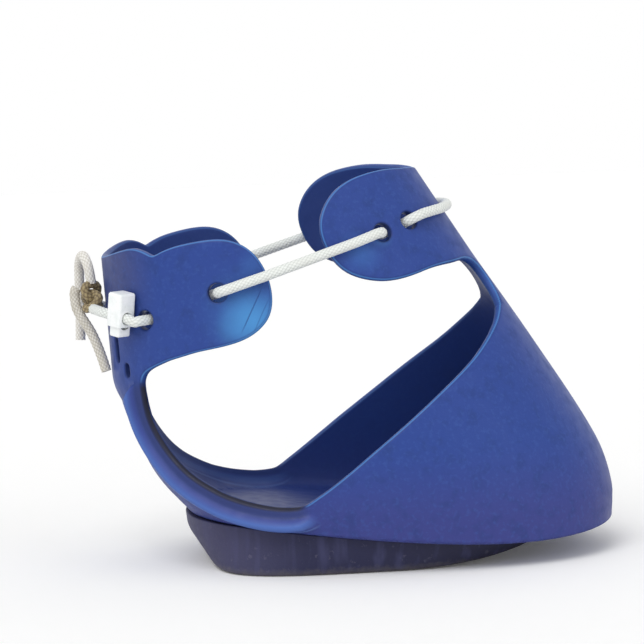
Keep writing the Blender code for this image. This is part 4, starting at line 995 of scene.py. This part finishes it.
def braidTree():
    tree = bpy.data.node_groups.new("braidedCord", "GeometryNodeTree")
    wanted = [("Cord Line", "Geometry"), ("Radius", "Float"), ("Strands", "Float"), ("Turn Length", "Float"),
              ("Relief", "Float"), ("Ring Step", "Float"), ("Sides", "Int"), ("Tip Length", "Float"),
              ("Finish", "Material")]
    for name, kind in wanted:
        tree.interface.new_socket(name, in_out="INPUT", socket_type="NodeSocket" + kind)
    tree.interface.new_socket("Braid", in_out="OUTPUT", socket_type="NodeSocketGeometry")
    given = addNode(tree, "NodeGroupInput", out=None).outputs
    values = {"strands": given["Strands"], "turnLength": given["Turn Length"], "relief": given["Relief"],
              "tipLength": given["Tip Length"],
              "run": addNode(tree, "GeometryNodeSplineParameter", out="Length"),
              "whole": addNode(tree, "GeometryNodeSplineLength")}
    for name in ("around", "along"):
        values[name] = addNode(tree, "GeometryNodeInputNamedAttribute", {"Name": name}, "Attribute",
                               data_type="FLOAT")
    for result, operation, *terms in tipSteps + braidSteps:
        terms = {i: values.get(term, term) for i, term in enumerate(terms)}
        values[result] = addNode(tree, "Math", terms, operation=operation)
    index = addNode(tree, "GeometryNodeInputIndex")
    share = addNode(tree, "Math", {0: index, 1: given["Sides"]}, operation="DIVIDE")
    push = addNode(tree, "VectorMath", {0: addNode(tree, "GeometryNodeInputNormal"), "Scale": values["lift"]},
                   operation="SCALE")

    atPoints = {"data_type": "FLOAT", "domain": "POINT"}
    line = addNode(tree, "GeometryNodeMeshToCurve", {"Mesh": given["Cord Line"]})
    line = addNode(tree, "GeometryNodeResampleCurve", {"Curve": line, "Length": given["Ring Step"]},
                   mode="LENGTH")
    line = addNode(tree, "GeometryNodeStoreNamedAttribute",
                   {"Geometry": line, "Name": "along", "Value": values["run"]}, **atPoints)
    line = addNode(tree, "GeometryNodeSetCurveRadius", {"Curve": line, "Radius": values["tip"]})
    ring = addNode(tree, "GeometryNodeCurvePrimitiveCircle",
                   {"Resolution": given["Sides"], "Radius": given["Radius"]}, mode="RADIUS")
    ring = addNode(tree, "GeometryNodeStoreNamedAttribute",
                   {"Geometry": ring, "Name": "around", "Value": share}, **atPoints)
    tube = addNode(tree, "GeometryNodeCurveToMesh", {"Curve": line, "Profile Curve": ring})
    tube = addNode(tree, "GeometryNodeStoreNamedAttribute",
                   {"Geometry": tube, "Name": "weave", "Value": values["height"]}, **atPoints)
    tube = addNode(tree, "GeometryNodeSetPosition", {"Geometry": tube, "Offset": push})
    tube = addNode(tree, "GeometryNodeRealizeInstances", {"Geometry": tube})
    tube = addNode(tree, "GeometryNodeSetMaterial", {"Geometry": tube, "Material": given["Finish"]})
    addNode(tree, "NodeGroupOutput", {"Braid": tube}, None)
    return tree


braidNodes = braidTree()


def braidMesh(points, finish, closed=False, **changes):
    mesh = bpy.data.meshes.new("cordLine")
    mesh.from_pydata(points, chainOf(len(points), 0, closed), [])
    line = addObject("cordLine", mesh)
    modifier = line.modifiers.new("braid", "NODES")
    modifier.node_group = braidNodes
    values = {"Radius": lace["radius"], "Strands": lace["strands"], "Turn Length": lace["turnLength"],
              "Relief": lace["relief"], "Ring Step": lace["ringStep"], "Sides": lace["sides"],
              "Tip Length": 0.0, "Finish": finish, **changes}
    for item in braidNodes.interface.items_tree:
        if item.in_out == "INPUT" and item.name in values:
            modifier[item.identifier] = values[item.name]
    made = meshOf(line)
    bpy.data.objects.remove(line)
    return made


def ringsOf(mesh, sides):
    places = np.empty(len(mesh.vertices) * 3)
    mesh.vertices.foreach_get("co", places)
    weave = np.empty(len(mesh.vertices))
    mesh.attributes["weave"].data.foreach_get("value", weave)
    return places.reshape(-1, sides, 3), weave.reshape(-1, sides)


def tubeNormals(rings, closed):
    if closed:
        along = np.roll(rings, -1, 0) - np.roll(rings, 1, 0)
    else:
        along = np.gradient(rings, axis=0)
    around = np.roll(rings, -1, 1) - np.roll(rings, 1, 1)
    normals = np.cross(around, along)
    centre = rings.mean(1, keepdims=True)
    if ((rings - centre) * normals).sum() < 0:
        normals = -normals
    return normals / np.maximum(1e-12, np.linalg.norm(normals, axis=2, keepdims=True))


def makeCord(name, rings, weave, normals, finish, closed=False):
    count, sides = rings.shape[:2]
    ids = np.arange(count * sides).reshape(count, sides)
    a, b = (ids, np.roll(ids, -1, 0)) if closed else (ids[:-1], ids[1:])
    quads = np.stack([a, b, np.roll(b, -1, 1), np.roll(a, -1, 1)], -1).reshape(-1, 4)
    points, facing = rings.reshape(-1, 3), normals.reshape(-1, 3)
    flat = np.cross(points[quads[:, 2]] - points[quads[:, 0]], points[quads[:, 3]] - points[quads[:, 1]])
    if (flat * facing[quads[:, 0]]).sum() < 0:
        quads = quads[:, ::-1]
    faces, corners = quads.tolist(), facing[quads].reshape(-1, 3).tolist()
    if not closed:
        for end, inner in ((0, 1), (-1, -2)):
            ring, out = ids[end], rings[end].mean(0) - rings[inner].mean(0)
            out = out / np.linalg.norm(out)
            middle = len(points)
            points = np.concatenate([points, points[ring].mean(0)[None]])
            turn = np.cross(points[ring[0]] - points[middle], points[ring[sides // 4]] - points[middle]) @ out
            for i, j in chainOf(sides, 0, True):
                faces.append((middle, ring[i], ring[j]) if turn > 0 else (middle, ring[j], ring[i]))
                corners += [tuple(out)] * 3
    mesh = meshFrom(name, points, faces)
    ends = np.full(len(points) - weave.size, lace["endWeave"])
    storeValues(mesh, "weave", np.concatenate([weave.reshape(-1), ends]))
    storeValues(mesh, "place", points)
    mesh.shade_smooth()
    mesh.normals_split_custom_set(corners)
    mesh.materials.append(finish)
    return addObject(name, mesh)


def braidPiece(name, points, finish, closed=False, **changes):
    rings, weave = ringsOf(braidMesh(points, finish, closed, **changes), changes.get("Sides", lace["sides"]))
    return makeCord(name, rings, weave, tubeNormals(rings, closed), finish, closed)


def makeLace(finish):
    route = smoothRoute(laceRoute(), lace["routeStep"])
    mesh = braidMesh(route, finish)
    rings, weave = ringsOf(mesh, lace["sides"])
    centres = rings.mean(1)
    if (Vector(centres[0]) - route[0]).length > (Vector(centres[-1]) - route[0]).length:
        rings, weave, centres = rings[::-1], weave[::-1], centres[::-1]
    normals = tubeNormals(rings, False)
    # pieces in order, each with the body that carries it or the bend it lies across
    chain = ["heel_wing_", "heel_strap", "root", "front_tongue", "front_wing_"]

    def cuts(side, name):
        wingEnd, toeEnd = skin(side * 94.6, 0.794, laceOver), skin(side * 76.9, 0.802, laceOver)
        # the two necks carry the span's ends the farthest, so their stretches are the longest
        span = [wingEnd * (1 - share) + toeEnd * share for share in lace["spanCuts"]]
        rows = [(skin(side * 134.2, 0.766, laceUnder), "laceHeelWing", "lace_heel_wing_",
                 bends["heelWing" + name])]
        for i in range(4):
            pair = [body + (name.lower() if body.endswith("_") else "") for body in chain[i:i + 2]]
            rows.append((span[i], "laceSide" + "ABCD"[i], "lace_side_", (*pair, span[i], span[i + 1])))
        rows.append((toeEnd, "laceFrontWing", "lace_front_wing_", bends["frontWing" + name]))
        return [(place, label + name, node + name.lower(), bend) for place, label, node, bend in rows]

    right, left = cuts(-1, "Right"), cuts(1, "Left")
    frontStart, frontEnd = skin(-34, 0.812, laceOver), skin(34, 0.812, laceOver)
    order = [(Vector(centres[0]), "laceBackRight", "lace_back_right", "heel_strap"), *right,
             (frontStart, "laceFront", "lace_front", "front_tongue")]
    starts = [frontEnd] + [row[0] for row in left[::-1]]
    order += [(starts[i], *row[1:]) for i, row in enumerate(left[::-1])]
    order.append((starts[-1], "laceBackLeft", "lace_back_left", "heel_strap"))
    marks = [0]
    for place, *rest in order[1:]:
        gaps = np.linalg.norm(centres - np.array(place), axis=1)
        gaps[:marks[-1] + 2] = 1
        marks.append(int(np.argmin(gaps)))
    marks.append(len(rings) - 1)
    for i, (place, label, node, carrier) in enumerate(order):
        run = slice(marks[i], marks[i + 1] + 1)
        piece = makeCord(label, rings[run], weave[run], normals[run], finish)
        dressPiece(piece, carrier, node)
    print("lace:", len(order), "pieces,", len(rings) * lace["sides"], "points")


def makeKnot(finish):
    placement = knotFrame()
    points = []
    for t in np.arange(knot["steps"]) * 2 * math.pi / knot["steps"]:
        across, up = math.sin(t) + 2 * math.sin(2 * t), 2 * math.cos(2 * t) - math.cos(t)
        points.append(placement @ Vector((knot["size"] * across, knot["size"] * up,
                                          -knot["depth"] * math.sin(3 * t))))
    piece = braidPiece("laceKnot", points, finish, True, Radius=knot["wire"], Strands=knot["strands"],
                       **{"Turn Length": knot["turnLength"]})
    dressPiece(piece, "heel_strap", "lace_knot")


def makeTail(name, node, route, finish):
    placement = knotFrame()
    points = smoothRoute([placement @ Vector(place) for place in route], lace["routeStep"])
    piece = braidPiece(name, points, finish, **{"Tip Length": lace["tipLength"]})
    dressPiece(piece, "heel_strap", node)
    run = sum((b - a).length for a, b in zip(points, points[1:]))
    print(name, "is", round(run * 1000, 1), "mm long")


# Nylon yarn, braided round: a soft, slightly hairy white with a grey shade between the yarns. The knot has
# taken up brown dirt, the outer tail is greyer from handling, and the inner tail is greyer still, partly from
# handling and partly painted shade.
cordFinish = {"soil": 6.0, "hair": 0.35, "fibre": 0.5, "hairDepth": 0.00012}  # soil and hair in mm


def makeBraidedNylon(name, high, low, soil, soiled):
    made, tree, shader = startMaterial(name, 0.68, 1.53)
    shader.inputs["Sheen Weight"].default_value = 0.25
    shader.inputs["Sheen Roughness"].default_value = 0.5
    f = cordFinish
    place = addNode(tree, "Attribute", out="Vector", attribute_name="place")
    weave = addNode(tree, "Attribute", out="Fac", attribute_name="weave")
    patch = addNode(tree, "TexNoise", {"Vector": place, "Scale": 1000 / f["soil"], "Detail": 4.0})
    hair = addNode(tree, "TexNoise", {"Vector": place, "Scale": 1000 / f["hair"], "Detail": 2.0})
    raised = addNode(tree, "MapRange", {0: weave, 1: 0.35, 2: 0.90}, interpolation_type="SMOOTHSTEP")
    colour = addNode(tree, "Mix", {0: raised, 6: toLinear(low), 7: toLinear(high)}, 2, data_type="RGBA")
    colour = layColours(tree, colour, [(patch, 0.45, 0.70, soiled, soil)])
    relief = addNode(tree, "Math", {0: hair, 1: f["fibre"], 2: weave}, operation="MULTIPLY_ADD")
    linkFinish(tree, shader, colour, None, relief, 0.5, f["hairDepth"])
    return made


laceNylon = makeBraidedNylon("braidedNylonWhite", "#eff3ef", "#d3d7d3", "#dcdad3", 0.30)
tailNylon = makeBraidedNylon("braidedNylonWorn", "#f0eee9", "#cdc9c0", "#d3cec3", 0.50)
# the inner tail's greyer nylon is partly painted shade
greyShadedNylon = makeBraidedNylon("braidedNylonGreyShaded", "#dedad1", "#b7b2a6", "#b9b3a5", 0.60)
knotNylon = makeBraidedNylon("braidedNylonSoiled", "#a5946c", "#6b5a3f", "#7d6c4b", 0.60)
makeLace(laceNylon)
makeKnot(knotNylon)
makeTail("laceTailOuter", "lace_tail_outer", outerTail, tailNylon)
makeTail("laceTailInner", "lace_tail_inner", innerTail, greyShadedNylon)


# The outsole: one moulded wedge, upright lip at the top, raked heel, rounded lower edge, twelve tread
# pockets. A pocket's steps give its share of the depth and how far its sides have drawn in.
outsole = {"heelInset": -0.0018, "heelRake": 0.0096, "waistShare": 0.70, "waistInset": 0.0006, "toeX": 0.0900,
           "toeRake": 0.0040, "topHalfWidth": 0.0545, "bottomHalfWidth": 0.0505, "gap": 0.0003,
           "topRound": 0.0007, "waistRound": 0.0022, "bottomRound": 0.0026, "rockerStart": 0.0200,
           "rockerRadius": 0.3000, "treadWall": 0.0060, "treadRib": 0.0050, "treadDepth": 0.0035,
           "treadStart": -0.0380, "treadEnd": 0.0580, "treadRows": 6, "treadCorner": 0.0022,
           "pocketSteps": [(0, 0), (0.04, 0.0003), (0.12, 0.0005), (0.85, 0.0009), (1, 0.0015)],
           "topBorderShare": 0.06, "bottomBorderShare": 0.065, "rowStep": 0.0022, "sharp": 38,
           "topPowers": (2.4, 2.3), "bottomPowers": (4.3, 2.3), "around": 288, "meshStep": 0.0030}


def rockerHeight(x):
    run = np.maximum(0, x - outsole["rockerStart"])
    return outsole["rockerRadius"] - np.sqrt(outsole["rockerRadius"] ** 2 - run**2)


def soleOutline(turn, heelX, toeX, halfWidth, powers):
    along, across = -np.cos(turn), np.sin(turn)
    power = np.where(along > 0, powers[1], powers[0])
    u = (1 + signedPower(along, power)) / 2
    return np.stack([heelX + (toeX - heelX) * u, halfWidth * signedPower(across, power)], -1), u


def roundedPath(corners, rounds, steps=6):
    path = [corners[0]]
    for before, corner, after, size in zip(corners, corners[1:], corners[2:], rounds):
        back, ahead = before - corner, after - corner
        lengths = [np.linalg.norm(v, axis=1, keepdims=True) for v in (back, ahead)]
        a, b = [corner + v * np.minimum(size / np.maximum(length, 1e-9), 0.46)
                for v, length in zip((back, ahead), lengths)]
        for t in np.linspace(0, 1, steps):
            path.append(a * (1 - t) ** 2 + corner * 2 * t * (1 - t) + b * t**2)
    return path + [corners[-1]]


def roundedBox(lowX, highX, lowY, highY, corner, steps=5):
    outline = []
    for x, y, start in ((highX - corner, highY - corner, 0), (lowX + corner, highY - corner, 90),
                        (lowX + corner, lowY + corner, 180), (highX - corner, lowY + corner, 270)):
        for turn in np.radians(start + np.linspace(0, 90, steps)):
            outline.append((x + corner * math.cos(turn), y + corner * math.sin(turn)))
    return np.array(outline)


def treadPockets(heelX, toeX):
    s = outsole
    pitch = (s["treadEnd"] - s["treadStart"] + s["treadRib"]) / s["treadRows"]
    pockets = []
    for row in range(s["treadRows"]):
        low = s["treadStart"] + pitch * row
        high = low + pitch - s["treadRib"]
        widths = []
        for x in (low, high):
            along = 2 * (x - heelX) / (toeX - heelX) - 1
            power = s["bottomPowers"][1 if along > 0 else 0]
            widths.append(s["bottomHalfWidth"] * max(0, 1 - abs(along) ** power) ** (1 / power))
        outer = min(widths) - s["treadWall"]
        for side in (-1, 1):
            y = sorted((side * s["treadRib"] / 2, side * outer))
            pockets.append((low, high, y[0], y[1], rockerHeight(low) + s["treadDepth"]))
    return pockets


def makeOutsole(finish):
    s = outsole
    topHeel = stations[0][0] + s["heelInset"]
    bottomHeel, bottomToe = topHeel + s["heelRake"], s["toeX"] - s["toeRake"]
    turn = np.arange(s["around"]) * 2 * math.pi / s["around"]
    top, u = soleOutline(turn, topHeel, s["toeX"], s["topHalfWidth"], s["topPowers"])
    bottom = soleOutline(turn, bottomHeel, bottomToe, s["bottomHalfWidth"], s["bottomPowers"])[0]
    topZ = floorHeight(top[:, 0]) - s["gap"]
    bottomZ = np.minimum(rockerHeight(bottom[:, 0]), topZ - 3 * s["gap"])
    waist = np.column_stack([top[:, 0] + s["waistInset"] * (1 - 2 * u),
                             top[:, 1] * (1 - s["waistInset"] / s["topHalfWidth"]),
                             bottomZ + (topZ - bottomZ) * s["waistShare"]])
    centre = np.array([(topHeel + s["toeX"]) / 2, 0])
    inTop = top + (centre - top) * s["topBorderShare"]
    inBottom = bottom + (centre - bottom) * s["bottomBorderShare"]
    corners = [np.column_stack([inTop, floorHeight(inTop[:, 0]) - s["gap"]]), np.column_stack([top, topZ]),
               waist, np.column_stack([bottom, bottomZ]),
               np.column_stack([inBottom, rockerHeight(inBottom[:, 0])])]
    levels = roundedPath(corners, (s["topRound"], s["waistRound"], s["bottomRound"]))
    # keep the sides even: a few rows between the rounded corners
    dense = [levels[0]]
    for a, b in zip(levels, levels[1:]):
        parts = max(1, int(np.median(np.linalg.norm(b - a, axis=1)) / s["rowStep"]))
        dense += [a + (b - a) * k / parts for k in range(1, parts + 1)]
    count, rows = s["around"], len(dense)
    points, faces, extra = [np.concatenate(dense)], [], rows * count
    for row in range(rows - 1):
        for i, j in chainOf(count, 0, True):
            faces.append((row * count + i, row * count + j, (row + 1) * count + j, (row + 1) * count + i))

    def fill(outlines, ids, height, upward):
        nonlocal extra
        grid, made = fillOutline([outline[:, :2] for outline in outlines], s["meshStep"])
        points.append(np.column_stack([grid, height(grid[:, 0])]))
        table = np.concatenate([*ids, extra + np.arange(len(grid))])
        extra += len(grid)
        faces.extend(map(tuple, table[made if upward else made[:, ::-1]].tolist()))

    fill([dense[0]], [np.arange(count)], lambda x: floorHeight(x) - s["gap"], True)
    mouths, mouthIds = [], []
    for low, high, lowY, highY, roof in treadPockets(bottomHeel, bottomToe):
        previous = None
        for depth, shrink in s["pocketSteps"]:
            outline = roundedBox(low + shrink, high - shrink, lowY + shrink, highY - shrink, s["treadCorner"])
            base = rockerHeight(outline[:, 0])
            ring = np.column_stack([outline, base + (roof - base) * depth])
            points.append(ring)
            ids = extra + np.arange(len(ring))
            extra += len(ring)
            if previous is None:
                mouths.append(ring)
                mouthIds.append(ids)
            else:
                faces += [(previous[i], previous[j], ids[j], ids[i]) for i, j in chainOf(len(ids), 0, True)]
            previous = ids
        faces.append(tuple(previous[::-1]))
    fill([dense[-1], *mouths], [(rows - 1) * count + np.arange(count), *mouthIds], rockerHeight, False)
    mesh = meshFrom("outsole", np.concatenate(points), faces)
    bm = bmesh.new()
    bm.from_mesh(mesh)
    bmesh.ops.recalc_face_normals(bm, faces=bm.faces)
    bm.to_mesh(mesh)
    openEdges = sum(1 for edge in bm.edges if len(edge.link_faces) != 2)
    bm.free()
    mesh.shade_smooth()
    mesh.set_sharp_from_angle(angle=math.radians(s["sharp"]))
    mesh.materials.append(finish)
    dressPiece(addObject("outsoleWedge", mesh), "root", "outsole")
    print("outsole:", len(mesh.polygons), "faces,", openEdges, "open edges")


# Harder PVC, moulded and left matt: a dark navy, paler and greyer towards the heel as a painted highlight and
# darker towards the toe as painted shade, with upright flow marks, scuffs and a dusty lower edge from the
# ground
# the heel colour is a painted highlight and the toe colour is painted shade
soleFinish = {"navy": "#2a2b49", "heel": "#484765", "toe": "#2c2c3c", "flow": "#4f5078", "scuff": "#6c6a7c",
              "dust": "#6d6864", "flowWidth": 5.0, "flowLength": 60.0, "scuffSize": 3.0, "grain": 0.7,
              "dustWander": 0.006, "depth": 0.00009}  # flow, scuff and grain sizes in mm


def makeSolePvc():
    made, tree, shader = startMaterial("solePvcMatt", 0.6, 1.53)
    shader.inputs["Specular IOR Level"].default_value = 0.25
    f = soleFinish
    place = addNode(tree, "TexCoord", out="Object")
    axes = addNode(tree, "SeparateXYZ", {0: place}, None).outputs
    tall = addNode(tree, "Mapping", {0: place, 3: (1.0, 1.0, f["flowWidth"] / f["flowLength"])})
    flow = addNode(tree, "TexNoise", {"Vector": tall, "Scale": 1000 / f["flowWidth"], "Detail": 2.0})
    scuff = addNode(tree, "TexNoise", {"Vector": place, "Scale": 1000 / f["scuffSize"], "Detail": 5.0,
                                       "Roughness": 0.7})
    grain = addNode(tree, "TexNoise", {"Vector": place, "Scale": 1000 / f["grain"], "Detail": 1.0})
    dusty = addNode(tree, "Math", {0: scuff, 1: f["dustWander"], 2: axes["Z"]}, operation="MULTIPLY_ADD")
    # the paler heel is a painted highlight and the darker toe is painted shade
    colour = layColours(tree, tuple(toLinear(f["navy"])), [
        (axes["X"], -0.015, -0.050, 0.9, f["heel"]), (axes["X"], 0.010, 0.090, 0.9, f["toe"]),
        (flow, 0.55, 0.75, 0.45, f["flow"]), (scuff, 0.60, 0.72, 0.40, f["scuff"]),
        (dusty, 0.0062, 0.0026, 0.5, f["dust"])])
    relief = addNode(tree, "Math", {0: scuff, 1: 1.5, 2: grain}, operation="MULTIPLY_ADD")
    linkFinish(tree, shader, colour, (scuff, 0.3, 0.7, 0.50, 0.72), relief, 0.6, f["depth"])
    return made


makeOutsole(makeSolePvc())


# The cord lock: a hollow block on the lace, a plunger that stands out below, a spring inside

def lockPlacement(height):
    bore = lockFrame()
    x, y, z = [bore.to_3x3().col[i] for i in range(3)]
    return placed(bore.translation + y * height, z, -x, y)


def blockMesh(size, placement, rounds, segments):
    bm = bmesh.new()
    bmesh.ops.create_cube(bm, size=1.0)
    bmesh.ops.scale(bm, vec=size, verts=bm.verts)
    for width, chosen in rounds:
        edges = [edge for edge in bm.edges if chosen is None or chosen(edge)]
        bmesh.ops.bevel(bm, geom=edges, offset=width, segments=segments, profile=0.5, affect="EDGES")
    bmesh.ops.transform(bm, matrix=placement, verts=bm.verts)
    return bm


def makeSolid(name, bm):
    mesh = bpy.data.meshes.new(name)
    bmesh.ops.recalc_face_normals(bm, faces=bm.faces)
    bm.to_mesh(mesh)
    bm.free()
    return addObject(name, mesh)


def cutAndFinish(body, cutters, finish, sharp=32):
    for cutter in cutters:
        modifier = body.modifiers.new(cutter.name, "BOOLEAN")
        modifier.operation, modifier.solver, modifier.object = "DIFFERENCE", "EXACT", cutter
    mesh = meshOf(body)
    body.modifiers.clear()
    body.data = mesh
    for cutter in cutters:
        bpy.data.objects.remove(cutter)
    mesh.materials.clear()
    mesh.materials.append(finish)
    mesh.shade_smooth()
    mesh.set_sharp_from_angle(angle=math.radians(sharp))
    return body


def boreCutter(name, placement, radius, reach, flare, low=0.0, count=48):
    mouth = -lock["length"] / 2
    profile = [(-reach, radius + flare + 0.0002), (mouth - 0.0001, radius + flare),
               (mouth + flare * 0.4, radius + flare * 0.35), (mouth + flare, radius)]
    profile += [(-z, r) for z, r in profile[::-1]]
    bm = bmesh.new()
    rings = []
    for z, r in profile:
        ring = []
        for turn in [2 * math.pi * i / count for i in range(count)]:
            y = r * math.sin(turn)
            ring.append(bm.verts.new(placement @ Vector((r * math.cos(turn), y + (low if y < 0 else 0), z))))
        rings.append(ring)
    for a, b in zip(rings, rings[1:]):
        for i, j in chainOf(count, 0, True):
            bm.faces.new((a[i], a[j], b[j], b[i]))
    bm.faces.new(rings[0][::-1])
    bm.faces.new(rings[-1])
    return makeSolid(name, bm)


def makeLock(finish, steel):
    s = lock
    upright = lambda edge: abs(edge.verts[0].co.z - edge.verts[1].co.z) > s["height"] / 2
    rim = lambda edge: max(v.co.z for v in edge.verts) > 0.4 * s["height"] and not upright(edge)
    foot = lambda edge: max(v.co.z for v in edge.verts) < -0.4 * s["height"]
    block = makeSolid("lockBody", blockMesh((s["length"], s["depth"], s["height"]), lockPlacement(
        s["height"] / 2 - s["boreHeight"]),
        [(s["sideRound"], upright), (s["topRound"], rim), (s["footRound"], foot)], 5))
    deep, reach = s["height"] - s["roof"] + s["cutBeyond"], s["length"] / 2 + s["cutBeyond"]
    cavity = makeSolid("cavity", blockMesh(
        (s["length"] - 2 * s["wall"], s["depth"] - 2 * s["wall"], deep),
        lockPlacement(-s["boreHeight"] - s["cutBeyond"] + deep / 2), [(s["insideRound"], None)], 3))
    bore = boreCutter("bore", lockFrame(), s["boreRadius"], reach, s["boreFlare"])
    cutAndFinish(block, [cavity, bore], finish)
    dressPiece(block, "cord_lock", "cord_lock_body")
    top, floor = s["boreRadius"] + s["crown"], -s["boreHeight"] - s["stickOut"]
    shrink = 2 * (s["wall"] + s["clearance"])
    plunger = makeSolid("lockPlunger", blockMesh(
        (s["length"] - shrink, s["depth"] - shrink, top - floor), lockPlacement((top + floor) / 2),
        [(s["plungerRound"], None)], 4))
    window = boreCutter("window", lockFrame(), s["boreRadius"], reach, s["windowFlare"], -s["travel"])
    cutAndFinish(plunger, [window], finish)
    dressPiece(plunger, "cord_lock_plunger", "cord_lock_plunger")
    print("lock:", len(block.data.polygons), "and", len(plunger.data.polygons), "faces")
    makeSpring(steel)


spring = {"wire": 0.00025, "radius": 0.0019, "turns": 3, "gap": 0.0003, "sides": 12, "flatEnd": 0.12,
          "turnSteps": 40, "pressedShare": 0.48}


def makeSpring(steel):
    s = spring
    low = lock["boreRadius"] + lock["crown"] + s["gap"] + s["wire"]
    high = lock["height"] - lock["boreHeight"] - lock["roof"] - s["gap"] - s["wire"]
    steps = s["turnSteps"] * s["turns"]
    points = []
    for step in range(steps + 1):
        share = step / steps
        turn = 2 * math.pi * s["turns"] * share
        # its first and last coils lie flat
        rise = min(1, max(0, (share - s["flatEnd"]) / (1 - 2 * s["flatEnd"])))
        points.append(lockPlacement(low + (high - low) * rise) @ Vector((
            s["radius"] * math.cos(turn), s["radius"] * math.sin(turn), 0)))
    piece = braidPiece("lockSpring", points, steel, Radius=s["wire"], Relief=0.0, Sides=s["sides"])
    dressPiece(piece, "cord_lock", "cord_lock_spring")
    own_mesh(piece)


# Nylon, moulded and slightly glossy: a cool white, greyer in faint patches over its sink marks
lockFinish = {"white": "#fcfefe", "shade": "#f0f5f4", "soil": "#dddcd4", "sink": 4.0, "speck": 0.8,
              "depth": 0.00012}  # sink and speck in mm


def makeLockPlastic():
    made, tree, shader = startMaterial("nylonWhiteMoulded", 0.38, 1.53)
    f = lockFinish
    place = addNode(tree, "TexCoord", out="Object")
    sink = addNode(tree, "TexNoise", {"Vector": place, "Scale": 1000 / f["sink"], "Detail": 2.0})
    speck = addNode(tree, "TexNoise", {"Vector": place, "Scale": 1000 / f["speck"], "Detail": 3.0})
    colour = layColours(tree, toLinear(f["white"]), [
        (sink, 0.40, 0.70, 0.9, f["shade"]), (speck, 0.62, 0.74, 0.5, f["soil"])])
    linkFinish(tree, shader, colour, (speck, 0.3, 0.7, 0.32, 0.46), sink, 0.4, f["depth"])
    return made


# Spring wire, cold drawn: bright steel with fine marks along the wire, duller between them
springFinish = {"bright": "#c3c6c9", "dull": "#94979b", "marks": 0.3}  # marks in mm


def makeSpringSteel():
    made, tree, shader = startMaterial("springSteelDrawn", 0.28, 1.5, 1.0)
    f = springFinish
    place = addNode(tree, "TexCoord", out="Object")
    drawn = addNode(tree, "TexNoise", {"Vector": place, "Scale": 1000 / f["marks"], "Detail": 2.0})
    colour = layColours(tree, toLinear(f["bright"]), [(drawn, 0.4, 0.7, 1.0, f["dull"])])
    linkFinish(tree, shader, colour, (drawn, 0.3, 0.7, 0.22, 0.42))
    return made


makeLock(makeLockPlastic(), makeSpringSteel())

# Studio: white to the camera, a plain soft level on the object and one broad lamp above the camera's left
studio = {"level": 0.64, "floorSize": 6.0, "floor": "#fbfbfa", "floorPale": "#ffffff", "floorSpeck": 9.0,
          "floorGap": 0.0002, "floorLift": 0.05,
          "lamps": [("keyLamp", -30, 50, 1.20, 35), ("frontFill", 40, 25, 0.25, 40)]}


def makeWorld():
    world = bpy.data.worlds.new("studio")
    bpy.context.scene.world = world
    world.use_nodes = True
    tree = world.node_tree
    background = tree.nodes["Background"]
    ray = addNode(tree, "LightPath", out=None)
    seen = ray.outputs["Is Camera Ray"]
    for name in ("Is Glossy Ray", "Is Transmission Ray"):
        seen = addNode(tree, "Math", {0: seen, 1: ray.outputs[name]}, operation="MAXIMUM")
    level = addNode(tree, "MapRange", {0: seen, 3: studio["level"], 4: 1.0})
    tree.links.new(level, background.inputs["Strength"])
    background.inputs["Color"].default_value = (1, 1, 1, 1)


def makeLamps():
    for name, turn, tilt, strength, spread in studio["lamps"]:
        back = outward(math.radians(turn), math.radians(tilt))
        light = bpy.data.lights.new(name, "SUN")
        light.angle = math.radians(spread)
        light.energy = strength
        lamp = addObject(name, light)
        lamp.matrix_world = Matrix.Translation(back) @ back.to_track_quat("Z", "Y").to_matrix().to_4x4()


def makeFloor():
    half = studio["floorSize"] / 2
    mesh = bpy.data.meshes.new("floor")
    low = -studio["floorGap"]
    corners = [(-half, -half, low), (half, -half, low), (half, half, low), (-half, half, low)]
    mesh.from_pydata(corners, [], [(0, 1, 2, 3)])
    floor = addObject("floor", mesh)
    made, tree, shader = startMaterial("paintedBoardWhite", 0.85)
    place = addNode(tree, "TexCoord", out="Object")
    speck = addNode(tree, "TexNoise", {"Vector": place, "Scale": 1000 / studio["floorSpeck"], "Detail": 2.0})
    linkFinish(tree, shader, layColours(tree, toLinear(studio["floor"]), [
        (speck, 0.0, 1.0, 1.0, studio["floorPale"])]))
    # the camera alone sees the floor a little lighter, so that it meets the background without a line
    ray = addNode(tree, "LightPath", out="Is Camera Ray")
    lift = addNode(tree, "Math", {0: ray, 1: studio["floorLift"]}, operation="MULTIPLY")
    shader.inputs["Emission Color"].default_value = (1, 1, 1, 1)
    tree.links.new(lift, shader.inputs["Emission Strength"])
    mesh.materials.append(made)


makeWorld()
makeLamps()
makeFloor()
bpy.context.scene.view_settings.view_transform = "Standard"
print("studio: floor,", len(studio["lamps"]), "lamps")
